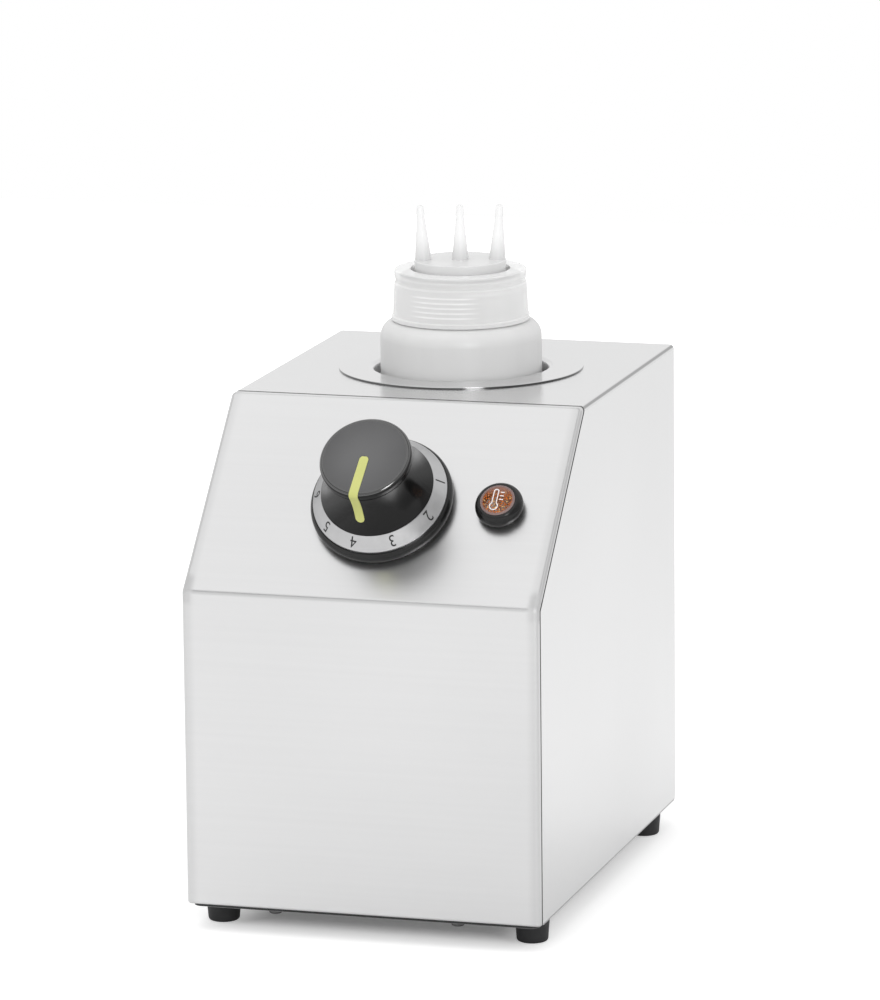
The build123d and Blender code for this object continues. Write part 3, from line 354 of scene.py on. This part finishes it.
def knob_moulding(name, black, satin):
    """Glossy black with fine turning rings, a satin top that carries painted shade (lighter at its middle, darker
    towards its rim), and a dark edge where the pointer is let in.
    """
    paint = finish(name)
    place = paint.place()
    across, upward, outward = dial_seat.to_3x3().col
    turn = Matrix.Rotation(-pointer_heading, 3, outward)
    aside = place.along(turn @ across, dial_centre)
    short = (pointer_start + pointer_width / 2 - place.along(turn @ upward, dial_centre)).above(0.0)
    height = place.along(outward, dial_centre)
    from_pointer = (aside * aside + short * short).root()
    top = height.step(knob_height - 0.25 * MM, knob_height - 0.05 * MM)
    top = top * from_pointer.step(pointer_width / 2 + 0.25 * MM, pointer_width / 2 + 0.55 * MM)
    left = place.along(across, dial_centre)
    rise = place.along(upward, dial_centre)
    radius = (left * left + rise * rise).root()
    top = top * (1.0 - radius.step(cap_flat - 0.5 * MM, cap_flat + 0.1 * MM))
    cloud = paint.noise(place, 45, 3.0)
    fine = paint.noise(place, 3600, 2.0, 0.6)
    rings = (height * (2 * pi / (0.9 * MM))).sine()
    skirt = 1.0 - height.step(30.5 * MM, 32.5 * MM)
    # Painted shade: lit and shaded copies of the top's colour, lighter at the middle and darker towards the rim, with
    # a random cloud.
    lit = paint.mix(cloud * 0.5 + radius.step(2 * MM, 24 * MM) * 0.7, [c * 1.15 for c in satin], [c * 0.7 for c in satin])
    return paint.done(
        paint.shade(
            Base_Color=paint.mix(top, black, lit),
            Roughness=cloud.span(-0.03, 0.03) + top * 0.26 + 0.17,
            Specular_IOR_Level=0.27,
            Coat_Weight=height.step(knob_height - 0.75 * MM, knob_height - 0.6 * MM) * (1.0 - top),
            Coat_Roughness=0.06,
            Coat_IOR=2.0,
            Normal=paint.bump(fine * (top * 0.5 + 0.06) + rings * skirt * 0.12, 0.25, 0.03 * MM),
        )
    )


def milky(name, colour, alpha, rim, roughness, darker_below=None, clear_above=None, threaded=None):
    """Translucent plastic, cloudier in places, denser where a wall is seen edge on, and ribbed where threaded, the
    ribs being whiter lines across the middle that are partly the thread seen through it and partly painted highlight.
    """
    paint = finish(name)
    place = paint.place()
    slow = paint.noise(place, 45, 3.0)
    flow = paint.noise(place, (90, 90, 14), 2.0)
    ripple = paint.noise(place, 220, 2.0)
    edge_on = paint.node("ShaderNodeLayerWeight", inputs={"Blend": 0.35}, output="Facing")
    body = flow.span(alpha * 0.95, alpha * 1.05)
    height = paint.axes(place)[2]
    tone = paint.mix(slow, [c * 0.97 for c in colour], colour)
    # Darker towards the bottom of the part.
    if darker_below:
        tone = paint.mix(height.step(darker_below - 1 * MM, darker_below + 12 * MM), [c * 0.74 for c in colour], tone)
    if clear_above:
        body = body - height.step(clear_above, clear_above + 4 * MM) * 0.4
    # Painted highlight: across the middle of the threaded band the plastic is denser, and so whiter, in thread lines,
    # partly the neck's thread seen through it and partly its highlights.
    if threaded:
        low, high = threaded
        thread_highlight_band = 1.0 - abs(place.along((1, 0, 0), well_axis)).step(8 * MM, 17 * MM)
        ribs = (height * (2 * pi / thread_pitch)).sine().above(0.0) * height.step(low, low + 1 * MM)
        ribs = ribs * (1.0 - height.step(high - 1 * MM, high)) * thread_highlight_band
        body = body + ribs * 0.25
        ripple = ripple * 0.3 + ribs * 0.5
    return paint.done(
        paint.shade(
            Base_Color=tone,
            Alpha=body + edge_on * (rim - alpha),
            Roughness=slow.span(roughness - 0.04, roughness + 0.04),
            Subsurface_Weight=0.1,
            Subsurface_Radius=(1.0, 1.0, 1.0),
            Subsurface_Scale=1 * MM,
            Normal=paint.bump(ripple, 0.1, 0.1 * MM),
        )
    )


def plated(name, colour, roughness):
    """Plated or machined metal for fasteners."""
    paint = finish(name)
    place = paint.place()
    fine = paint.noise(place, 2600, 2.0)
    stain = paint.noise(place, 240, 4.0)
    return paint.done(
        paint.shade(
            Base_Color=paint.mix(stain, [c * 0.8 for c in colour], colour),
            Metallic=1.0,
            Roughness=stain.span(roughness - 0.08, roughness + 0.1),
            Normal=paint.bump(fine, 0.12, 0.02 * MM),
        )
    )


steel = brushed_steel("brushed_steel", (0.75, 0.75, 0.752), 0.17, half_width - 2.4 * MM, 1.8, cover_edge_shade)
panel_steel = brushed_steel("panel_steel", (0.76, 0.76, 0.762), 0.30, None, 1.1, panel_edge_shade, fold_ends)
well_steel = brushed_steel("well_steel", (0.74, 0.74, 0.742), 0.15, None, 0.6, flange_shadow_line, inside_well)
plain_steel = brushed_steel("rear_steel", (0.765, 0.765, 0.767), 0.24, None, 1.4)


def shade_dark_sheet(name, colour, underside):
    """Sheet steel painted near-black above its underside, in place of the shade in the gap under the housing."""
    paint = finish(name)
    place = paint.place()
    edge = paint.axes(place)[2].step(underside + 0.05 * MM, underside + 0.15 * MM)
    stain = paint.noise(place, 240, 4.0)
    return paint.done(
        paint.shade(
            Base_Color=paint.mix(edge, colour, (0.022, 0.022, 0.023)),
            Metallic=1.0 - edge * 0.8,
            Roughness=stain.span(0.32, 0.5),
            Normal=paint.bump(paint.noise(place, 2600, 2.0), 0.12, 0.02 * MM),
        )
    )


# Painted shade: the base plate is near-black on its edges and top, and dark grey underneath to deepen the shade on
# the floor below it.
base_steel = shade_dark_sheet("base_steel", (0.32, 0.32, 0.32), shell_z - base_sheet)
zinc = plated("zinc", (0.62, 0.61, 0.58), 0.34)
# Painted shade: the screws under the base plate are plated near black, to sit in the shade under the housing.
shade_dark_zinc = plated("shade_dark_zinc", (0.12, 0.12, 0.12), 0.40)
copper = plated("copper", (0.72, 0.40, 0.27), 0.30)
rubber = moulded("foot_rubber", (0.016, 0.016, 0.017), 0.58, grit=2.0)
black_plastic = moulded("black_plastic", (0.009, 0.009, 0.009), 0.18, grit=0.4, Specular_IOR_Level=0.38)
knob_black = knob_moulding("knob_black", (0.005, 0.005, 0.005), (0.125, 0.125, 0.127))
pointer_green = moulded("pointer_green", (0.56, 0.575, 0.185), 0.42)
dial_silver = plated("dial_silver", (0.62, 0.62, 0.625), 0.34)
bottle_plastic = milky("bottle_plastic", (0.775, 0.775, 0.773), 0.90, 0.98, 0.32, clear_above=top_z + 20 * MM)
cap_plastic = milky(
    "cap_plastic", (1.0, 1.0, 0.998), 0.55, 0.95, 0.16, threaded=(top_z + 25 * MM, top_z + 36 * MM)
)
nozzle_plastic = milky("nozzle_plastic", (0.97, 0.97, 0.97), 0.97, 1.0, 0.18, darker_below=hub_top)
# Painted highlight: the neck's thread is a whiter copy of the bottle's plastic, so it shows lighter through the cap.
thread_highlight_plastic = milky("thread_highlight_plastic", (1.0, 1.0, 1.0), 0.96, 0.98, 0.12)
seal_rubber = moulded("seal_rubber", (0.75, 0.75, 0.73), 0.5)
white_plastic = moulded("terminal_white", (0.78, 0.78, 0.75), 0.42)
lamp_plastic = moulded("lamp_moulding", (0.6, 0.6, 0.57), 0.45)
brown_plastic = moulded("thermostat_moulding", (0.10, 0.055, 0.035), 0.4)
heater_steel = plated("heater", (0.50, 0.48, 0.45), 0.42)
wool = moulded("wool", (0.72, 0.68, 0.58), 0.95, grit=6.0)
ink = moulded("dial_ink", (0.012, 0.012, 0.012), 0.55)
symbol_ink = moulded("symbol_ink", (0.84, 0.80, 0.80), 0.5)


def lens_plastic(name, colour):
    """Clear amber moulding, hazy and paler towards its rim, and painted over its upper half with the same pale haze
    as a painted reflection of the light above.
    """
    paint = finish(name)
    place = paint.place()
    across, up, out = lamp_seat.to_3x3().col
    away = place.along(across, lamp_seat.translation)
    rise = place.along(up, lamp_seat.translation)
    radius = (away * away + rise * rise).root()
    # Frosted rim, and painted reflection: the upper half takes the rim's pale haze.
    rim = radius.step(5.7 * MM, 6.8 * MM).above(rise.step(0.0, 6.0 * MM) * 0.75)
    flow = paint.noise(place, 700, 2.0)
    return paint.done(
        paint.shade(
            Base_Color=paint.mix(rim, colour, (0.24, 0.17, 0.165)),
            Alpha=rim * 0.72 + 0.12,
            Specular_IOR_Level=0.35,
            Roughness=flow.span(0.05, 0.12),
            Normal=paint.bump(flow, 0.05, 0.1 * MM),
        )
    )


def prisms(name, dark, warm, painted_glint):
    """Tiny amber prisms with painted glints and painted shade: some painted bright as if catching the light, some
    dark as if in shade.
    """
    paint = finish(name)
    cells = {"Vector": paint.place(), "Scale": 1050.0}
    spark = paint.axes(paint.node("ShaderNodeTexVoronoi", inputs=cells, output="Color"))[0]
    low = paint.mix(spark.step(0.05, 0.4), dark, warm)
    return paint.done(
        paint.shade(
            # Painted glints: the brightest prisms.
            Base_Color=paint.mix(spark.step(0.66, 0.85), low, painted_glint),
            Metallic=0.35,
            Roughness=spark.span(0.1, 0.3),
        )
    )


amber = lens_plastic("lens_amber", (0.62, 0.16, 0.02))
prism_amber = prisms("prism_amber", (0.12, 0.014, 0.003), (1.0, 0.25, 0.01), (1.0, 0.78, 0.38))

dressing = {
    steel: ["cover"],
    plain_steel: ["rear_panel"],
    panel_steel: ["front_panel"],
    base_steel: ["base_plate"],
    well_steel: ["well_cup"],
    zinc: [
        "rear_screws", "foot_nuts", "well_nuts", "clamp_screws",
        "clamp_nuts", "cutout_nuts", "thermostat_screws", "thermostat_spindle",
        "terminal_screws", "earth_stud",
    ],
    shade_dark_zinc: ["base_screws", "foot_screws"],
    rubber: ["foot_front_left", "foot_front_right", "foot_rear_left", "foot_rear_right"],
    heater_steel: ["heater_band"],
    wool: ["insulation_sleeve"],
    brown_plastic: ["limit_cutout", "thermostat_body"],
    copper: ["capillary_tube", "sensor_bulb"],
    black_plastic: ["dial_base", "lamp_bezel", "lamp_nut", "gland_body", "gland_dome_nut", "gland_lock_nut"],
    dial_silver: ["dial_ring"],
    knob_black: ["knob_body", "knob_cap"],
    pointer_green: ["knob_pointer"],
    amber: ["lamp_lens"],
    lamp_plastic: ["lamp_body"],
    bottle_plastic: ["bottle_body"],
    cap_plastic: ["screw_cap"],
    nozzle_plastic: ["nozzle_insert"],
    seal_rubber: ["neck_seal"],
    white_plastic: ["terminal_block"],
}
for material, names in dressing.items():
    for name in names:
        node = frame["nodes"][name]
        node.data.materials.clear()
        node.data.materials.append(material)


# ------------------------------------------------------------------ making pieces
def piece(mesh, name, material, body, smooth=True):
    """A finished piece from a mesh that is already in its place."""
    mesh.name = name
    mesh.materials.clear()
    mesh.materials.append(material)
    for face in mesh.polygons:
        face.use_smooth = smooth
    made = bpy.data.objects.new(name, mesh)
    bpy.context.scene.collection.objects.link(made)
    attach(made, body)
    return made


def as_mesh(shape):
    """The plain mesh of a text, a curve or a mesh with live modifiers, which is then removed."""
    bpy.context.scene.collection.objects.link(shape)
    bpy.context.view_layer.update()
    graph = bpy.context.evaluated_depsgraph_get()
    mesh = bpy.data.meshes.new_from_object(shape.evaluated_get(graph))
    bpy.data.objects.remove(shape)
    return mesh


class Growth:
    """A Geometry Nodes tree with named inputs for its sizes."""

    def __init__(self, name, **sizes):
        self.tree = bpy.data.node_groups.new(name, "GeometryNodeTree")
        self.tree.is_modifier = True
        self.sizes, self.keys = sizes, {}
        for title, value in sizes.items():
            kind = "NodeSocketMaterial" if isinstance(value, bpy.types.Material) else (
                "NodeSocketInt" if isinstance(value, int) else "NodeSocketFloat"
            )
            socket = self.tree.interface.new_socket(title, in_out="INPUT", socket_type=kind)
            self.keys[title] = socket.identifier
        self.tree.interface.new_socket("Geometry", in_out="OUTPUT", socket_type="NodeSocketGeometry")
        self.inputs = self.tree.nodes.new("NodeGroupInput")
        self.result = self.tree.nodes.new("NodeGroupOutput")

    def size(self, title):
        return self.inputs.outputs[title]

    def node(self, kind, settings=None, inputs=None):
        made = self.tree.nodes.new(kind)
        for name, value in (settings or {}).items():
            setattr(made, name, value)
        for name, value in (inputs or {}).items():
            if isinstance(value, bpy.types.NodeSocket):
                self.tree.links.new(value, made.inputs[name])
            elif isinstance(value, bpy.types.Node):
                self.tree.links.new(value.outputs[0], made.inputs[name])
            else:
                made.inputs[name].default_value = value
        return made

    def math(self, operation, first, second):
        return self.node("ShaderNodeMath", {"operation": operation}, {0: first, 1: second})

    def grown(self, shape):
        """The mesh that the tree ends in, as plain faces."""
        real = self.node("GeometryNodeRealizeInstances", inputs={"Geometry": shape})
        painted = self.node(
            "GeometryNodeSetMaterial", inputs={"Geometry": real, "Material": self.size("Finish")}
        )
        self.tree.links.new(painted.outputs[0], self.result.inputs[0])
        seed = bpy.data.objects.new("seed", bpy.data.meshes.new("seed"))
        maker = seed.modifiers.new("growth", "NODES")
        maker.node_group = self.tree
        for title, value in self.sizes.items():
            maker[self.keys[title]] = value
        return as_mesh(seed)


# ------------------------------------------------------------------ numbers on the dial
digit_height = 5.0 * MM
ink_depth = 0.10 * MM
ring_slope = atan2(ring_inner_height - ring_outer_height, ring_outer - ring_inner)
ring_width = sqrt((ring_inner_height - ring_outer_height) ** 2 + (ring_outer - ring_inner) ** 2)
digit_angles = {"1": 104.0, "2": 65.5, "3": 24.6, "4": -12.3, "5": -45.0, "6": -82.8}


def on_ring(point, angle):
    """Lays a point of a flat figure on the ring's bevel, with the figure's top outwards."""
    down = ring_width / 2 + point.y
    radius = ring_inner + down * cos(ring_slope) + point.z * sin(ring_slope)
    height = ring_inner_height - down * sin(ring_slope) + point.z * cos(ring_slope)
    turned = angle - point.x / radius
    return Vector((radius * sin(turned), -radius * cos(turned), height))


numbers = bmesh.new()
for digit, angle in digit_angles.items():
    text = bpy.data.curves.new("digit", "FONT")
    text.body = digit
    text.size = digit_height / 0.7
    text.extrude = ink_depth / 2
    text.resolution_u = 6
    figure = as_mesh(bpy.data.objects.new("digit", text))
    corners = [vertex.co.copy() for vertex in figure.vertices]
    middle_x = (min(c.x for c in corners) + max(c.x for c in corners)) / 2
    middle_y = (min(c.y for c in corners) + max(c.y for c in corners)) / 2
    for vertex in figure.vertices:
        flat = vertex.co - Vector((middle_x, middle_y, 0.01 * MM))
        flat.x *= 0.86
        vertex.co = on_ring(flat, radians(angle))
    numbers.from_mesh(figure)
numbers.transform(dial_seat)
number_mesh = bpy.data.meshes.new("dial_numbers")
numbers.to_mesh(number_mesh)
piece(number_mesh, "dial_numbers", ink, "housing", smooth=False)

# ------------------------------------------------------------------ thread on the bottle's neck
thread = Growth(
    "neck_thread",
    Radius=neck_radius,
    Pitch=3.6 * MM,
    Turns=3.2,
    Ridge=0.75 * MM,
    Foot=2.0 * MM,
    Steps=96,
    Finish=thread_highlight_plastic,
)
path = thread.node(
    "GeometryNodeCurveSpiral",
    inputs={
        "Resolution": thread.size("Steps"),
        "Rotations": thread.size("Turns"),
        "Start Radius": thread.size("Radius"),
        "End Radius": thread.size("Radius"),
        "Height": thread.math("MULTIPLY", thread.size("Pitch"), thread.size("Turns")),
    },
)
upright = thread.node("GeometryNodeSetCurveNormal", {"mode": "Z_UP"}, {"Curve": path})
along = thread.node("GeometryNodeSplineParameter")
from_end = thread.math("SUBTRACT", 0.5, thread.math("ABSOLUTE", thread.math("SUBTRACT", along, 0.5), 0))
run_out = thread.node(
    "ShaderNodeMapRange", {"interpolation_type": "SMOOTHSTEP"}, {"Value": from_end, "From Max": 0.04}
)
tapered = thread.node("GeometryNodeSetCurveRadius", inputs={"Curve": upright, "Radius": run_out})
profile = thread.node(
    "GeometryNodeCurvePrimitiveCircle", {"mode": "RADIUS"}, {"Resolution": 10, "Radius": thread.size("Ridge")}
)
ridge = thread.node(
    "GeometryNodeCurveToMesh", inputs={"Curve": tapered, "Profile Curve": profile, "Fill Caps": True}
)
thread_mesh = thread.grown(ridge)
thread_mesh.transform(Matrix.Translation(Vector((well_axis.x, well_axis.y, top_z + 23.9 * MM))))
piece(thread_mesh, "neck_thread", thread_highlight_plastic, "bottle")

# ------------------------------------------------------------------ prisms and symbol of the lamp
lens_dome = (lens_radius**2 + (lens_height - lens_edge) ** 2) / (2 * (lens_height - lens_edge))


def on_lens(across, up, lift=0.0):
    """A point at `lift` over the lens's dome."""
    drop = lens_dome - sqrt(lens_dome**2 - across**2 - up**2)
    return Vector((across, up, lens_height - drop + lift))


facets = Growth(
    "lens_prisms", Reach=6.4 * MM, Pitch=0.72 * MM, Foot=0.46 * MM, Tall=0.42 * MM, Lean=0.35, Seed=4, Finish=prism_amber
)
patch = facets.node("GeometryNodeMeshCircle", {"fill_type": "NGON"}, {"Vertices": 40, "Radius": facets.size("Reach")})
dots = facets.node(
    "GeometryNodeDistributePointsOnFaces", {"distribute_method": "POISSON"},
    {"Mesh": patch, "Distance Min": facets.size("Pitch"), "Density Max": 3.2e6, "Seed": facets.size("Seed")},
)
prism = facets.node(
    "GeometryNodeMeshCone", {"fill_type": "NGON"},
    {"Vertices": 4, "Radius Top": 0.0, "Radius Bottom": facets.size("Foot"), "Depth": facets.size("Tall")},
)
lean = facets.node(
    "FunctionNodeRandomValue", {"data_type": "FLOAT_VECTOR"}, {"Seed": facets.size("Seed")}
)
low = facets.node("ShaderNodeCombineXYZ", inputs={"X": facets.math("MULTIPLY", facets.size("Lean"), -1.0), "Y": facets.math("MULTIPLY", facets.size("Lean"), -1.0), "Z": 0.0})
high = facets.node("ShaderNodeCombineXYZ", inputs={"X": facets.size("Lean"), "Y": facets.size("Lean"), "Z": 1.6})
facets.tree.links.new(low.outputs[0], lean.inputs["Min"])
facets.tree.links.new(high.outputs[0], lean.inputs["Max"])
sown = facets.node(
    "GeometryNodeInstanceOnPoints", inputs={"Points": dots, "Instance": prism, "Rotation": lean}
)
facet_mesh = facets.grown(sown)
for vertex in facet_mesh.vertices:
    across, up, rise = vertex.co
    vertex.co = on_lens(across, up, rise - 0.9 * MM)
facet_mesh.transform(lamp_seat)
piece(facet_mesh, "lens_prisms", prism_amber, "housing", smooth=False)

bulb_radius, tube_radius = 1.7 * MM, 0.95 * MM
bulb_across, bulb_up, tube_top = -0.95 * MM, -3.35 * MM, 4.9 * MM
neck_turn = atan2(tube_radius, sqrt(bulb_radius**2 - tube_radius**2))
outline = [
    (
        bulb_across + bulb_radius * sin(neck_turn + step * (2 * pi - 2 * neck_turn) / 28),
        bulb_up + bulb_radius * cos(neck_turn + step * (2 * pi - 2 * neck_turn) / 28),
    )
    for step in range(29)
] + [
    (
        bulb_across - tube_radius * cos(step * pi / 12),
        tube_top - tube_radius + tube_radius * sin(step * pi / 12),
    )
    for step in range(13)
]
marks = [
    [(1.0 * MM, up * MM), (2.6 * MM, up * MM)] for up in (3.5, 1.7, -0.1)
]
symbol = bpy.data.curves.new("lamp_symbol", "CURVE")
symbol.dimensions = "3D"
symbol.bevel_depth = 0.28 * MM
symbol.bevel_resolution = 1
symbol.use_fill_caps = True
for line, closed in [(outline, True)] + [(mark, False) for mark in marks]:
    stroke = symbol.splines.new("POLY")
    stroke.points.add(len(line) - 1)
    stroke.use_cyclic_u = closed
    for point, (across, up) in zip(stroke.points, line):
        point.co = (*on_lens(across, up, 0.02 * MM), 1)
symbol_mesh = as_mesh(bpy.data.objects.new("lamp_symbol", symbol))
symbol_mesh.transform(lamp_seat)
piece(symbol_mesh, "lamp_symbol", symbol_ink, "housing")

# ------------------------------------------------------------------ stage and light
floor_size = 1.7
far_lift, mirrored_lift = 0.45, 0.115  # what the floor gives, to show as white
ambient = 0.80
floor_mesh = bpy.data.meshes.new("floor")
floor_mesh.from_pydata(
    [(x * floor_size, y * floor_size, 0) for x, y in ((-1, -1), (1, -1), (1, 1), (-1, 1))],
    [], [(0, 1, 2, 3)],
)
floor = bpy.data.objects.new("floor", floor_mesh)
bpy.context.scene.collection.objects.link(floor)
ground = finish("floor")
rays = ground.node("ShaderNodeLightPath").socket.node
seen = Wire(ground, rays.outputs["Is Camera Ray"]).above(Wire(ground, rays.outputs["Is Transmission Ray"]))
beside, behind, _ = ground.axes(ground.place())
far = (beside * beside + behind * behind).root().step(0.3, 1.2)
outside = (abs(beside) - half_width).above(abs(behind) + front_y)
# Painted shadow: the lift is lower under the housing, from 8 mm inside its outline inwards, so the shade under it
# stays dark.
given = outside.step(-0.030, -0.008).span(0.13, 0.42) + far * far_lift
# Seen in reflections, the floor is painted lighter behind the object and far in front of it, and painted darker in
# front of it towards the right: painted light and shade for the steel to mirror.
mirrored = behind.step(-0.05, 0.10) * 0.08 + (0.0 - behind).step(0.3, 0.8) * 0.06 + mirrored_lift
mirrored = mirrored - beside.step(-0.14, 0.06) * (0.0 - behind).step(0.05, 0.15) * 0.14
lift = seen * given + Wire(ground, rays.outputs["Is Glossy Ray"]) * mirrored
lift = lift * (1.0 - Wire(ground, rays.outputs["Diffuse Depth"])).above(0.0)
floor_mesh.materials.append(
    ground.done(
        ground.shade(
            Base_Color=(0.84, 0.84, 0.84),
            Roughness=0.9,
            Specular_IOR_Level=0.0,
            Emission_Color=ground.mix(lift, (0, 0, 0), (1, 1, 1)),
            Emission_Strength=1.0,
        )
    )
)

# The room that polished parts mirror: white behind the object, dim over its back, grey behind the
# camera, and dark to the right of it, where the bends look.
world = bpy.data.worlds.new("studio")
bpy.context.scene.world = world
sky = Finish(world, "ShaderNodeOutputWorld")
rays = sky.node("ShaderNodeLightPath").socket.node
seen = Wire(sky, rays.outputs["Is Camera Ray"]).above(Wire(sky, rays.outputs["Is Transmission Ray"]))
mirrored = Wire(sky, rays.outputs["Is Glossy Ray"])
east, north, height = sky.axes(sky.node("ShaderNodeTexCoord", output="Generated"))


def towards(heading, start, full):
    """1 in the directions near a compass heading, taken from the front towards the right."""
    return (east * sin(radians(heading)) - north * cos(radians(heading))).step(start, full)


level = 1.0 - abs(height).step(0.35, 0.85)
overhead = (height * 0.96 - east * 0.2 - north * 0.2).step(0.68, 0.82)
room = 0.93 - towards(75, 0.45, 0.95) * level * 0.45 - towards(10, 0.35, 0.9) * level * 0.15
room = (room - overhead * 0.66).above(0.3)
plain = (1.0 - seen - mirrored).above(0.0)
sky.done(
    sky.node(
        "ShaderNodeBackground",
        inputs={"Color": (1, 1, 1, 1), "Strength": seen + mirrored * room + plain * ambient},
    )
)


def softbox(name, place, target, size, power):
    """A rectangular lamp that faces a point of the object."""
    data = bpy.data.lights.new(name, "AREA")
    data.shape = "RECTANGLE"
    data.size, data.size_y = size
    data.energy = power
    lamp = bpy.data.objects.new(name, data)
    lamp.location = place
    lamp.rotation_euler = (Vector(target) - Vector(place)).to_track_quat("-Z", "Y").to_euler()
    bpy.context.scene.collection.objects.link(lamp)


softbox("overhead", (-0.50, -0.45, 2.3), (-0.1, 0, 0.1), (2.6, 2.2), 13.8)
softbox("key", (0.72, -1.32, 0.70), (0, 0, 0.17), (0.42, 0.60), 5.6)
